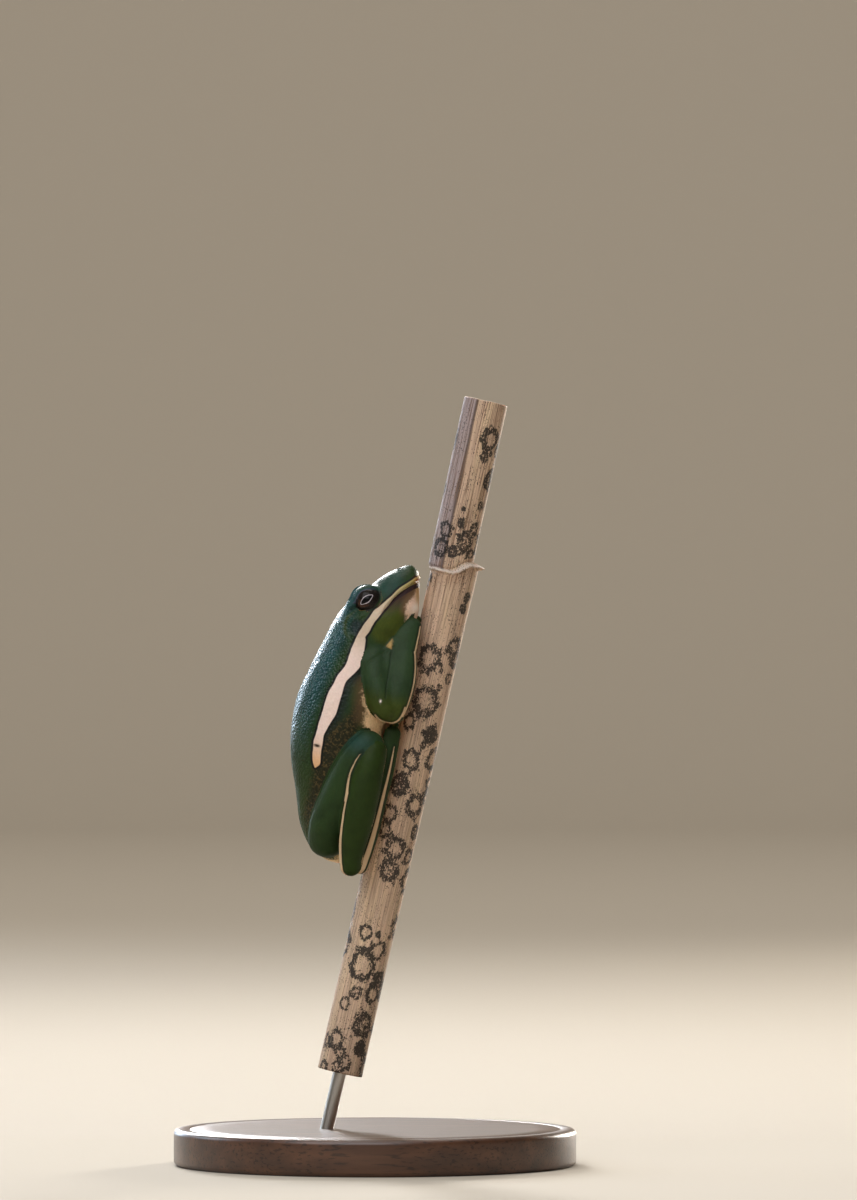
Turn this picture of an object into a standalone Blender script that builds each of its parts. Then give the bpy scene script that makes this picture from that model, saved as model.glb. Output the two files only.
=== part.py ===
"""A green tree frog at rest on a cut length of dry reed, life size, on a plain display stand.

All sizes are in millimetres and are turned to metres when a mesh is made. The frog is drawn in its own
frame, which leans with the reed: u runs up the reed from the frog's heels, v runs out from the reed's
axis to the frog's back, and w runs out of its right side, which is world -Y.
"""

import math

import bmesh
import bpy
import numpy as np

MM = 0.001
GAP = 0.3                     # what two touching pieces keep between them

# Where the reed and the frog stand over the base
LEAN = math.radians(12.9)     # the reed's lean from upright, towards +X
HEEL_HEIGHT = 47.4            # height of the frog's heels over the table
HEEL_X = 1.6                  # the reed's axis at that height, from the middle of the base
UP = np.array([math.sin(LEAN), 0.0, math.cos(LEAN)])
OUT = np.array([-math.cos(LEAN), 0.0, math.sin(LEAN)])
RIGHT = np.array([0.0, -1.0, 0.0])
RIGHT_SIDE = np.array([0.0, 0.0, 1.0])   # the same direction within the frog's own frame
HEELS = np.array([HEEL_X, 0.0, HEEL_HEIGHT])

# The reed
REED_RADIUS = 3.7
REED_FOOT = -33.0             # u of the lower cut end
JOINT_U = 51.5                # u of the joint, which is closed inside
JOINT_SWELL = 0.12            # how much thicker the reed grows just below its joint
SWELL_LENGTH = 8.0
REED_TOP = 79.5               # u of the upper cut end
UPPER_RADIUS = 3.45           # above the joint
UPPER_SHIFT = 0.7             # how far the reed is set over, towards the frog, above its joint
KINK = math.radians(0.8)      # how much straighter it stands there
REED_BORE = 2.5               # radius of the hollow at the upper end
BORE_DEPTH = 20.0
SHEATH = 0.25                 # thickness of the leaf sheath that wraps the reed above its joint

# The stand
BASE_RADIUS = 33.0
BASE_HEIGHT = 6.0
BASE_EDGE = 0.9               # rounding of the base's upper edge
BASE_CHAMFER = 0.6            # at its lower edge
ROD_RADIUS = 1.1
ROD_IN_BASE = 3.5
ROD_IN_REED = 6.0

# The frog's eye and ear
EYE_CENTRE = (43.4, 12.75, 4.6)
EYE_RADIUS = 2.25
BROW_CENTRE = (43.3, 12.9, 4.45)
BROW_RADIUS = 2.85            # of the lids' bulge, seen from the side
BROW_REACH = 2.75             # how far that bulge reaches out sideways from its centre
LID_OPENING = (2.05, 1.5)     # half length along the head, and half height
EYE_AXIS = (0.08, 0.12, 0.99)
EARDRUM = (38.8, 13.6)
EARDRUM_RADIUS = 1.25
HEAD_AXIS = (0.866, -0.5)     # the head's forward direction in u, v

# The body from vent to snout. Each row: back line u, v; belly line u, v; half width; how much wider
# the section is below its middle than above; and how square it is, from 0 for an oval.
TORSO = [
    (0.5, 10.0, 0.4, 7.9, 1.5, 0.0, 0.05),
    (1.4, 12.3, 0.9, 6.7, 3.4, 0.0, 0.05),
    (3.3, 14.2, 2.7, 5.8, 4.7, 0.0, 0.05),
    (6.2, 15.9, 5.6, 5.2, 5.7, 0.0, 0.05),
    (10.8, 17.5, 10.0, 4.9, 6.7, 0.0, 0.06),
    (14.4, 18.95, 14.0, 4.75, 7.8, 0.02, 0.07),
    (18.0, 20.0, 18.2, 4.75, 8.6, 0.05, 0.08),
    (22.3, 20.6, 22.5, 4.85, 9.1, 0.07, 0.08),
    (26.3, 20.5, 27.0, 5.1, 9.0, 0.07, 0.08),
    (30.0, 19.75, 30.8, 5.4, 8.5, 0.05, 0.09),
    (33.2, 18.95, 33.4, 5.5, 8.0, 0.03, 0.11),
    (36.0, 18.25, 35.5, 5.4, 7.6, 0.02, 0.13),
]
HEAD = [
    TORSO[-2],
    TORSO[-1],
    (38.3, 17.65, 37.4, 5.15, 7.4, 0.06, 0.15),
    (40.5, 16.9, 39.2, 4.85, 7.35, 0.14, 0.17),
    (42.4, 15.8, 40.9, 4.55, 7.15, 0.21, 0.18),
    (43.9, 14.5, 42.4, 4.3, 6.8, 0.25, 0.18),
    (45.2, 13.35, 43.9, 4.3, 6.3, 0.24, 0.18),
    (46.5, 12.4, 45.2, 4.55, 5.6, 0.2, 0.18),
    (47.75, 11.4, 46.4, 4.85, 4.9, 0.18, 0.16),
    (48.9, 10.2, 47.4, 5.0, 4.15, 0.16, 0.14),
    (49.75, 8.95, 48.3, 5.15, 3.3, 0.13, 0.1),
    (50.3, 7.9, 49.0, 5.45, 2.35, 0.08, 0.06),
    (50.45, 7.1, 49.7, 5.9, 1.2, 0.0, 0.05),
]
NECK_ROW = 1                  # the row of HEAD at the cut between head and torso
TORSO_RINGS, TORSO_SIDES = 24, 24
HEAD_RINGS, HEAD_SIDES = 22, 26

# The line of the mouth from its corner to the snout, u and v
MOUTH = [(40.7, 10.4), (42.2, 9.95), (44.2, 9.0), (45.7, 8.0), (47.2, 6.75), (48.4, 5.7), (50.0, 4.6)]
MOUTH_WIDTH = 0.4
MOUTH_DEPTH = 0.55
LIP_RADIUS = 0.5
LIP_RISE = 0.62               # how far the upper lip's middle lies over the line of the mouth
NOSTRIL = (49.3, 8.75, 1.55)
NOSTRIL_RADIUS = 0.42

# The right limbs. Each row: centre u, v, w; half width in the picture plane; half thickness.
UPPER_ARM = [
    (35.3, 9.7, 5.7, 2.35, 2.0),
    (33.2, 9.15, 6.7, 2.5, 2.15),
    (30.6, 8.25, 7.7, 2.2, 2.2),
    (28.0, 7.05, 8.2, 2.1, 2.2),
    (26.7, 5.95, 8.3, 2.05, 2.15),
]
FOREARM = [
    (26.4, 4.6, 7.9, 1.9, 1.7),
    (28.2, 4.45, 8.0, 2.15, 1.85),
    (30.8, 4.4, 7.7, 2.3, 1.85),
    (33.6, 4.55, 7.2, 2.2, 1.7),
    (36.0, 4.9, 6.7, 1.95, 1.45),
]
PALM = [
    (36.4, 5.0, 6.6, 1.9, 1.3),
    (38.4, 5.15, 6.2, 2.05, 1.15),
    (39.8, 5.15, 5.9, 2.0, 1.05),
    (41.1, 5.1, 5.5, 1.85, 0.9),
]
THIGH = [
    (3.8, 10.6, 4.3, 3.1, 2.9),
    (6.6, 10.8, 6.1, 3.1, 2.9),
    (10.8, 10.3, 7.6, 2.95, 2.8),
    (15.0, 9.5, 8.5, 2.85, 2.6),
    (18.4, 8.4, 9.0, 2.75, 2.5),
    (20.3, 7.3, 9.1, 2.7, 2.4),
]
SHANK = [
    (19.7, 6.4, 9.7, 2.25, 2.0),
    (17.4, 6.4, 10.0, 2.4, 2.2),
    (13.6, 6.5, 10.0, 2.7, 2.3),
    (9.4, 6.5, 9.7, 2.75, 2.2),
    (5.2, 6.4, 9.0, 2.4, 1.9),
    (2.0, 6.15, 8.3, 1.95, 1.6),
    (0.5, 5.85, 7.9, 1.75, 1.5),
]
ANKLE = [
    (0.9, 4.5, 6.9, 1.4, 1.3),
    (4.0, 4.15, 6.2, 1.45, 1.3),
    (8.0, 3.95, 5.8, 1.5, 1.3),
    (12.0, 3.9, 5.7, 1.5, 1.25),
    (16.0, 3.85, 5.6, 1.55, 1.2),
    (19.8, 3.9, 5.4, 1.5, 1.1),
    (23.2, 4.0, 5.3, 1.35, 0.95),
]

# Digits end in pads on the reed. Each: root u, v, w; pad's u; pad's angle round the reed from the
# frog's side, in degrees; half thickness.
FINGERS = [
    ((39.0, 4.7, 5.3), 34.8, 27.0, 0.6),
    ((40.0, 4.5, 5.2), 37.2, 19.0, 0.6),
    ((40.8, 4.6, 5.1), 39.6, 18.0, 0.62),
    ((41.3, 5.0, 5.2), 41.8, 25.0, 0.62),
]
TOES = [
    ((17.6, 3.6, 4.9), 20.6, 23.0, 0.56),
    ((20.6, 3.6, 4.9), 24.6, 17.0, 0.58),
    ((22.4, 3.7, 4.9), 28.8, 18.0, 0.6),
    ((23.2, 3.9, 5.2), 32.6, 32.0, 0.64),
    ((22.0, 4.4, 5.6), 29.2, 45.0, 0.6),
]
PAD_HALF_WIDTH = 1.0
PAD_HALF_LENGTH = 1.0
PAD_HALF_THICKNESS = 0.45
PAD_CLEARANCE = 0.1           # on top of the gap, because the reed is many-sided
DIGIT_RINGS, DIGIT_SIDES = 8, 6
ARM_RINGS, ARM_SIDES = 9, 12
LEG_RINGS, LEG_SIDES = 11, 14
PALM_RINGS, PALM_SIDES = 6, 10
ANKLE_RINGS, ANKLE_SIDES = 10, 12

# Colours and finishes: base colour, roughness, metallic
SKIN_GREEN = ((0.035, 0.115, 0.035, 1.0), 0.42, 0.0)
EYE_BRONZE = ((0.05, 0.03, 0.018, 1.0), 0.08, 0.0)
DRY_REED = ((0.52, 0.38, 0.25, 1.0), 0.72, 0.0)
STAINED_WOOD = ((0.06, 0.03, 0.016, 1.0), 0.45, 0.0)
STEEL = ((0.56, 0.55, 0.52, 1.0), 0.32, 1.0)


def material(name, finish):
    colour, roughness, metallic = finish
    made = bpy.data.materials.new(name)
    made.use_nodes = True
    shader = made.node_tree.nodes["Principled BSDF"]
    shader.inputs["Base Color"].default_value = colour
    shader.inputs["Roughness"].default_value = roughness
    shader.inputs["Metallic"].default_value = metallic
    made.diffuse_color = colour
    return made


def to_world(points):
    """Points of the frog's frame in world metres."""
    points = np.asarray(points, float)
    world = HEELS + points[..., 0:1] * UP + points[..., 1:2] * OUT + points[..., 2:3] * RIGHT
    return world * MM


def unit(vectors):
    return vectors / np.linalg.norm(vectors, axis=-1, keepdims=True)


def spline(rows, count):
    """Values at count even steps along a Catmull-Rom curve through the rows."""
    rows = np.asarray(rows, float)
    padded = np.vstack([2 * rows[0] - rows[1], rows, 2 * rows[-1] - rows[-2]])
    at = np.linspace(0, len(rows) - 1, count)
    start = np.minimum(at.astype(int), len(rows) - 2)
    t = (at - start)[:, None]
    before, a, b, after = (padded[start + k] for k in range(4))
    return a + 0.5 * t * (b - before + t * (2 * before - 5 * a + 4 * b - after
                                            + t * (3 * (a - b) + after - before)))


def mesh_object(name, points, faces, finish):
    """A mesh object from world points in metres, shaded smooth, with its faces pointing out."""
    mesh = bpy.data.meshes.new(name)
    mesh.from_pydata([tuple(p) for p in points], [], [tuple(f) for f in faces])
    shape = bmesh.new()
    shape.from_mesh(mesh)
    bmesh.ops.recalc_face_normals(shape, faces=shape.faces)
    shape.to_mesh(mesh)
    shape.free()
    mesh.shade_smooth()
    mesh.materials.append(finish)
    made = bpy.data.objects.new(name, mesh)
    bpy.context.scene.collection.objects.link(made)
    return made


def skinned(name, rings, finish, ends=None, to_points=to_world):
    """A closed tube over rings of points, an array (ring, point, 3). Each end is a fan to its middle,
    or to the two end points given."""
    count, sides, _ = rings.shape
    if ends is None:
        ends = rings[[0, -1]].mean(1)
    points = np.vstack([rings.reshape(-1, 3), ends])
    ring, side = np.meshgrid(np.arange(count - 1), np.arange(sides), indexing="ij")
    ring, side = ring.ravel(), side.ravel()
    following = (side + 1) % sides
    walls = np.stack([ring * sides + side, ring * sides + following,
                      (ring + 1) * sides + following, (ring + 1) * sides + side], axis=1)
    round_ring = np.arange(sides)
    next_round = (round_ring + 1) % sides
    first, last = count * sides, count * sides + 1
    end = (count - 1) * sides
    faces = walls.tolist()
    faces += np.stack([np.full(sides, first), next_round, round_ring], axis=1).tolist()
    faces += np.stack([np.full(sides, last), end + round_ring, end + next_round], axis=1).tolist()
    return mesh_object(name, to_points(points), faces, finish)


def body_rings(rows, count, sides, grow=0.0):
    """Rings of the body: a rounded oval between back line and belly line, fuller below its middle."""
    at = spline(rows, count)
    back = np.stack([at[:, 0], at[:, 1], np.zeros(count)], axis=1)
    belly = np.stack([at[:, 2], at[:, 3], np.zeros(count)], axis=1)
    middle, half = (back + belly) / 2, (back - belly) / 2
    height = np.linalg.norm(half, axis=1, keepdims=True)
    half *= (height + grow) / height
    across = np.array([0.0, 0.0, 1.0]) * (at[:, 4:5] + grow)
    angle = np.arange(sides) * 2 * math.pi / sides
    cosine, sine = np.cos(angle), np.sin(angle)
    power = 1 - at[:, 6:7]
    up = np.sign(cosine) * np.abs(cosine) ** power
    side = np.sign(sine) * np.abs(sine) ** power * (1 - at[:, 5:6] * cosine)
    return middle[:, None] + half[:, None] * up[..., None] + across[:, None] * side[..., None]


def limb_rings(rows, count, sides, grow=0.0, round_start=True, round_end=True, flat_to_reed=False):
    """Oval rings along a limb's curve. A rounded end adds rings on a quarter circle past it."""
    at = spline(rows, count)
    centre, wide, thick = at[:, :3], at[:, 3:4] + grow, at[:, 4:5] + grow
    along = unit(np.gradient(centre, axis=0))
    if round_start:
        centre, wide, thick, along = rounded(centre, wide, thick, along, start=True)
    if round_end:
        centre, wide, thick, along = rounded(centre, wide, thick, along, start=False)
    if flat_to_reed:
        towards = unit(centre * np.array([0.0, 1.0, 1.0]))
    else:
        towards = np.tile([0.0, 1.0, 0.0], (len(centre), 1))
    first = unit(towards - (towards * along).sum(1, keepdims=True) * along)
    second = np.cross(along, first)
    angle = np.arange(sides) * 2 * math.pi / sides
    return (centre[:, None] + (first * wide)[:, None] * np.cos(angle)[None, :, None]
            + (second * thick)[:, None] * np.sin(angle)[None, :, None])


def rounded(centre, wide, thick, along, start):
    """The rows of a limb with two more on a quarter circle past its start or its end."""
    turn = np.radians([34.0, 66.0])[:, None]
    k, sign = (0, -1.0) if start else (-1, 1.0)
    reach = (wide[k] + thick[k]) / 2
    more = [centre[k] + sign * along[k] * reach * np.sin(turn), wide[k] * np.cos(turn),
            thick[k] * np.cos(turn), np.tile(along[k], (len(turn), 1))]
    old = [centre, wide, thick, along]
    if start:
        return [np.vstack([m[::-1], o]) for m, o in zip(more, old)]
    return [np.vstack([o, m]) for m, o in zip(more, old)]


def apply_modifiers(thing):
    """The object's mesh as its modifiers leave it."""
    bpy.context.view_layer.update()
    graph = bpy.context.evaluated_depsgraph_get()
    made = bpy.data.meshes.new_from_object(thing.evaluated_get(graph))
    thing.modifiers.clear()
    thing.data = made


def keep_largest(thing):
    """Keeps the one closed surface that has the most corners."""
    shape = bmesh.new()
    shape.from_mesh(thing.data)
    unseen, groups = set(shape.verts), []
    while unseen:
        seed = unseen.pop()
        group, border = {seed}, [seed]
        while border:
            for link in border.pop().link_edges:
                for vertex in link.verts:
                    if vertex in unseen:
                        unseen.discard(vertex)
                        group.add(vertex)
                        border.append(vertex)
        groups.append(group)
    largest = max(groups, key=len)
    loose = [vertex for vertex in shape.verts if vertex not in largest]
    bmesh.ops.delete(shape, geom=loose, context="VERTS")
    shape.to_mesh(thing.data)
    shape.free()
    thing.data.shade_smooth()


def subtract(thing, *cutters, solver="EXACT"):
    """Takes each cutter away from the object, keeps all that is left, and removes the cutters."""
    for cutter in cutters:
        step = thing.modifiers.new("cut", "BOOLEAN")
        step.operation = "DIFFERENCE"
        step.solver = solver
        step.object = cutter
        apply_modifiers(thing)
        bpy.data.objects.remove(cutter)
    return thing


def cut(thing, *cutters, solver="EXACT"):
    """Takes each cutter away and keeps the largest piece."""
    subtract(thing, *cutters, solver=solver)
    keep_largest(thing)
    return thing


def fuse(thing, pieces, solver="EXACT"):
    """Joins the pieces to the object in one union, then removes them."""
    together = bpy.data.collections.new("pieces")
    bpy.context.scene.collection.children.link(together)
    for piece in pieces:
        bpy.context.scene.collection.objects.unlink(piece)
        together.objects.link(piece)
    step = thing.modifiers.new("fuse", "BOOLEAN")
    step.operation = "UNION"
    step.solver = solver
    step.operand_type = "COLLECTION"
    step.collection = together
    apply_modifiers(thing)
    for piece in list(together.objects):
        bpy.data.objects.remove(piece)
    bpy.data.collections.remove(together)
    keep_largest(thing)
    return thing


def ball(name, centre, radius, reach, finish, segments=16, rings=10):
    """A ball at a point of the frog's frame, its poles to the frog's sides, reach away from its middle."""
    latitude = np.radians(np.linspace(-90, 90, rings + 1)[1:-1])
    angle = np.arange(segments) * 2 * math.pi / segments
    spin = np.stack([np.outer(radius * np.cos(latitude), np.cos(angle)),
                     np.outer(radius * np.cos(latitude), np.sin(angle)),
                     np.outer(reach * np.sin(latitude), np.ones(segments))], axis=-1)
    poles = np.asarray(centre) + np.array([[0, 0, -reach], [0, 0, reach]])
    return skinned(name, np.asarray(centre) + spin, finish, ends=poles)


def across_eye(side):
    """The eye's looking direction and its two directions across, for the right (1) or left (-1) eye."""
    look = unit(np.array([EYE_AXIS[0] * HEAD_AXIS[0], EYE_AXIS[1], EYE_AXIS[2] * side]))
    forward = np.array([HEAD_AXIS[0], HEAD_AXIS[1], 0.0])
    forward = unit(forward - (forward @ look) * look)
    return look, forward, np.cross(look, forward)


def oval_bar(name, start, end, first, second, finish, sides=20):
    """A straight bar of oval section between two points of the frog's frame."""
    angle = np.arange(sides) * 2 * math.pi / sides
    oval = np.outer(np.cos(angle), first) + np.outer(np.sin(angle), second)
    return skinned(name, np.stack([start + oval, end + oval]), finish)


def surface_side(rows, u, v):
    """Half width of the body at u, v: the section whose plane passes the point, solved on its oval."""
    at = spline(rows, 400)
    middle = (at[:, 0:2] + at[:, 2:4]) / 2
    half = (at[:, 0:2] - at[:, 2:4]) / 2
    height = np.linalg.norm(half, axis=1)
    offset = np.array([u, v]) - middle
    up = (offset * half).sum(1) / height ** 2
    off_plane = np.abs(offset[:, 0] * half[:, 1] - offset[:, 1] * half[:, 0]) / height
    nearest = int(np.argmin(off_plane))
    cosine = np.clip(up[nearest], -1, 1)
    return at[nearest, 4] * math.sqrt(1 - cosine ** 2) * (1 - at[nearest, 5] * cosine)


def ring_on_side(name, u, v, side, radius, thickness, finish):
    """A raised ring on the side of the head, such as the rim of the eardrum."""
    sides, rings = 6, 16
    turn = np.arange(rings) * 2 * math.pi / rings
    middle = np.stack([u + radius * np.cos(turn), v + radius * np.sin(turn)], axis=1)
    depth = np.array([surface_side(HEAD, a, b) for a, b in middle]) - thickness * 0.15
    centre = np.column_stack([middle, side * depth])
    outward = np.stack([np.cos(turn), np.sin(turn), np.zeros(rings)], axis=1)
    angle = np.arange(sides) * 2 * math.pi / sides
    points = (centre[:, None] + thickness * (outward[:, None] * np.cos(angle)[None, :, None]
                                             + np.array([0, 0, 1.0]) * np.sin(angle)[None, :, None]))
    ring, k = np.meshgrid(np.arange(rings), np.arange(sides), indexing="ij")
    ring, k = ring.ravel(), k.ravel()
    after, beside = (ring + 1) % rings, (k + 1) % sides
    faces = np.stack([ring * sides + k, ring * sides + beside,
                      after * sides + beside, after * sides + k], axis=1)
    return mesh_object(name, to_world(points.reshape(-1, 3)), faces.tolist(), finish)


def mouth_line(count, rise=0.0):
    """Points u, v along the line of the mouth, moved up across it, and their directions."""
    line = spline(MOUTH, count)
    along = unit(np.gradient(line, axis=0))
    across = np.stack([-along[:, 1], along[:, 0]], axis=1)
    return line + across * rise, along, across


def upper_lip(skin):
    """The rounded edge of the upper lip, from one corner of the mouth round the snout to the other."""
    line, _, across = mouth_line(60, LIP_RISE)
    reach = np.array([surface_side(HEAD, u, v) for u, v in line])
    front = int(np.argmax(reach < 0.4))
    picked = np.unique(np.round(front * np.sin(np.linspace(0, math.pi / 2, 14))).astype(int))[:-1]
    one_side = np.column_stack([line[picked], reach[picked] - LIP_RADIUS * 0.35])
    nose = np.array([[*(line[front] - (0.2, 0.1)), 0.0]])
    centre = np.vstack([one_side, nose, one_side[::-1] * (1, 1, -1)])
    along = unit(np.gradient(centre, axis=0))
    raised = np.array([*across.mean(0), 0.0])
    first = unit(raised - (along @ raised)[:, None] * along)
    second = np.cross(along, first)
    size = LIP_RADIUS * np.interp(np.arange(len(centre)), [0, 4, len(centre) - 5, len(centre) - 1],
                                  [0.45, 1, 1, 0.45])[:, None, None]
    angle = (np.arange(6) * 2 * math.pi / 6)[None, :, None]
    return skinned("lip", centre[:, None] + size * (first[:, None] * np.cos(angle)
                                                    + second[:, None] * np.sin(angle)), skin)


def mouth_cutter(skin):
    """A thin bent sheet along the line of the mouth, hollowed so that it only reaches in by its depth."""
    line, _, across = mouth_line(12)
    reach = 12.0
    corners = [np.column_stack([line + sign * across * MOUTH_WIDTH / 2, np.full(len(line), w)])
               for sign, w in ((1, reach), (-1, reach), (-1, -reach), (1, -reach))]
    sheet = skinned("mouth_sheet", np.stack(corners, axis=1), skin)
    core = skinned("mouth_core", body_rings(HEAD, HEAD_RINGS, HEAD_SIDES, grow=-MOUTH_DEPTH), skin)
    return subtract(sheet, core)


def make_torso(skin):
    return skinned("torso", body_rings(TORSO, TORSO_RINGS, TORSO_SIDES), skin)


def make_head(skin):
    rings = body_rings(HEAD[NECK_ROW:], HEAD_RINGS, HEAD_SIDES)
    neck_normal = np.cross(rings[0, 0] - rings[0, HEAD_SIDES // 2], RIGHT_SIDE)
    rings[0] += unit(neck_normal) * GAP
    head = skinned("head", rings, skin)
    added = [upper_lip(skin)]
    for side in (1, -1):
        added.append(ball("brow", np.array(BROW_CENTRE) * (1, 1, side), BROW_RADIUS, BROW_REACH, skin))
        added.append(ring_on_side("eardrum_rim", *EARDRUM, side, EARDRUM_RADIUS, 0.28, skin))
    fuse(head, added)
    cutters = [mouth_cutter(skin)]
    for side in (1, -1):
        centre = np.array(EYE_CENTRE) * (1, 1, side)
        look, forward, upward = across_eye(side)
        cutters.append(ball("socket", centre, EYE_RADIUS + GAP, EYE_RADIUS + GAP, skin))
        cutters.append(oval_bar("lid_opening", centre, centre + look * 6,
                                forward * LID_OPENING[0], upward * LID_OPENING[1], skin))
        cutters.append(ball("nostril", np.array(NOSTRIL) * (1, 1, side), NOSTRIL_RADIUS, NOSTRIL_RADIUS,
                            skin, 8, 6))
    return cut(head, *cutters)


def make_eye(side, name, iris):
    return ball(name, np.array(EYE_CENTRE) * (1, 1, side), EYE_RADIUS, EYE_RADIUS, iris)


def mirror_image(piece, name):
    """The piece's mirror image on the frog's left side, as a new object."""
    shape = bmesh.new()
    shape.from_mesh(piece.data)
    for corner in shape.verts:
        corner.co.y = -corner.co.y
    bmesh.ops.reverse_faces(shape, faces=shape.faces)
    image = piece.copy()
    image.name = name
    image.data = piece.data.copy()
    shape.to_mesh(image.data)
    shape.free()
    bpy.context.scene.collection.objects.link(image)
    return image


def digit_rows(root, pad_u, pad_angle, half_thick):
    """Rows of one digit: from its root it bends down to the reed and to its pad."""
    angle = math.radians(pad_angle)
    lift = float(reed_radius(pad_u)) + GAP + PAD_CLEARANCE
    pad_lift = lift + PAD_HALF_THICKNESS
    tip = np.array([pad_u, pad_lift * math.cos(angle), pad_lift * math.sin(angle)])
    root = np.array(root)
    turn = (angle + math.atan2(root[2], root[1])) / 2
    knuckle_lift = max(lift + half_thick * 1.7, (pad_lift + math.hypot(root[1], root[2])) / 2)
    knuckle = np.array([root[0] * 0.45 + pad_u * 0.55, knuckle_lift * math.cos(turn),
                        knuckle_lift * math.sin(turn)])
    along = unit(tip - knuckle)
    neck = tip - along * PAD_HALF_LENGTH * 1.3
    front = tip + along * PAD_HALF_LENGTH * 0.3
    return [
        (*root, half_thick * 1.1, half_thick * 1.15),
        (*knuckle, half_thick, half_thick * 1.05),
        (*neck, half_thick * 0.8, half_thick * 0.9),
        (*tip, PAD_HALF_THICKNESS, PAD_HALF_WIDTH),
        (*front, PAD_HALF_THICKNESS * 0.9, PAD_HALF_WIDTH * 0.85),
    ]


def digits(kind, table, skin):
    made = []
    for row in table:
        rings = limb_rings(digit_rows(*row), DIGIT_RINGS, DIGIT_SIDES, round_start=False, flat_to_reed=True)
        made.append(skinned(kind, rings, skin))
    return made


def room(rows, rings, sides, skin):
    """The limb made larger by the gap, to cut room for it out of a neighbour."""
    return skinned("room", limb_rings(rows, rings, sides, grow=GAP), skin)


def body_room(skin):
    """The torso and the head made larger by the gap."""
    return (skinned("room", body_rings(TORSO, TORSO_RINGS, TORSO_SIDES, grow=GAP), skin),
            skinned("room", body_rings(HEAD, HEAD_RINGS, HEAD_SIDES, grow=GAP), skin))


def make_limbs(skin):
    """The right limbs, each piece cut clear of those that it presses on, and their mirror images."""
    upper_arm = skinned("upper_arm", limb_rings(UPPER_ARM, ARM_RINGS, ARM_SIDES), skin)
    cut(upper_arm, *body_room(skin), solver="MANIFOLD")

    forearm = skinned("forearm", limb_rings(FOREARM, ARM_RINGS, ARM_SIDES), skin)
    cut(forearm, room(UPPER_ARM, ARM_RINGS, ARM_SIDES, skin), *body_room(skin), solver="MANIFOLD")

    hand = skinned("hand", limb_rings(PALM, PALM_RINGS, PALM_SIDES), skin)
    fuse(hand, digits("finger", FINGERS, skin), solver="MANIFOLD")
    cut(hand, room(FOREARM, ARM_RINGS, ARM_SIDES, skin), *body_room(skin), solver="MANIFOLD")

    thigh = skinned("thigh", limb_rings(THIGH, LEG_RINGS, LEG_SIDES), skin)
    cut(thigh, *body_room(skin), solver="MANIFOLD")

    shank = skinned("shank", limb_rings(SHANK, LEG_RINGS, LEG_SIDES), skin)
    cut(shank, room(THIGH, LEG_RINGS, LEG_SIDES, skin), *body_room(skin), solver="MANIFOLD")

    foot = skinned("foot", limb_rings(ANKLE, ANKLE_RINGS, ANKLE_SIDES), skin)
    fuse(foot, digits("toe", TOES, skin), solver="MANIFOLD")
    cut(foot, room(SHANK, LEG_RINGS, LEG_SIDES, skin), room(THIGH, LEG_RINGS, LEG_SIDES, skin),
        *body_room(skin), solver="MANIFOLD")

    for piece in (upper_arm, forearm, hand, thigh, shank, foot):
        mirror_image(piece, piece.name + "_left")
        piece.name += "_right"


def reed_radius(u):
    """The reed thickens towards its joint and is thinner above it."""
    below = REED_RADIUS + JOINT_SWELL * np.exp(-((JOINT_U - u) / SWELL_LENGTH) ** 2)
    return np.where(u > JOINT_U, UPPER_RADIUS, below)


def reed_point(u, angle, radius):
    """Points round the reed's axis, which is set over and stands a little straighter above the joint."""
    past = np.maximum(u - JOINT_U, 0)
    shift = np.where(u > JOINT_U, UPPER_SHIFT + past * math.sin(KINK), 0)
    return np.stack([u + 0 * angle, shift + radius * np.cos(angle), radius * np.sin(angle)], axis=-1)


def reed_grid(heights, sides):
    return np.meshgrid(heights, np.arange(sides) * 2 * math.pi / sides, indexing="ij")


def make_reed(straw):
    """The reed with the ragged ring of its joint, and the overlapping leaf sheath above it."""
    rings = {-1.2: 0.0, -0.5: 0.1, -0.1: 0.2, 0.15: 0.35, 0.5: 0.1, 1.2: 0.0}
    heights = np.concatenate([np.linspace(REED_FOOT, JOINT_U - 18, 4),
                              [JOINT_U - 12, JOINT_U - 7, JOINT_U - 3.5],
                              [JOINT_U + step for step in rings],
                              np.linspace(JOINT_U + 4, REED_TOP, 3)])
    u, angle = reed_grid(heights, 24)
    radius = reed_radius(u)
    for step, more in rings.items():
        radius[np.isclose(u, JOINT_U + step)] += more
    at_collar = (u > JOINT_U - 0.3) & (u < JOINT_U + 0.3)
    radius += 1.3 * at_collar * np.exp(-((angle - math.pi) / 0.3) ** 2)
    radius += SHEATH * ((u > JOINT_U + 0.4) & (angle < math.radians(102)))
    reed = skinned("reed", reed_point(u, angle, radius), straw)
    bore = skinned("bore", reed_point(*reed_grid([REED_TOP - BORE_DEPTH, REED_TOP + 1], 20), REED_BORE),
                   straw)
    socket = skinned("socket", reed_point(*reed_grid([REED_FOOT - 1, REED_FOOT + ROD_IN_REED], 16),
                                          ROD_RADIUS + GAP), straw)
    return cut(reed, bore, socket)


def rod_ends():
    """u of the rod's lower end, in the base, and of its upper end, in the reed."""
    at_base_top = (BASE_HEIGHT - HEEL_HEIGHT) / math.cos(LEAN)
    return at_base_top - ROD_IN_BASE, REED_FOOT + ROD_IN_REED - GAP


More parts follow.
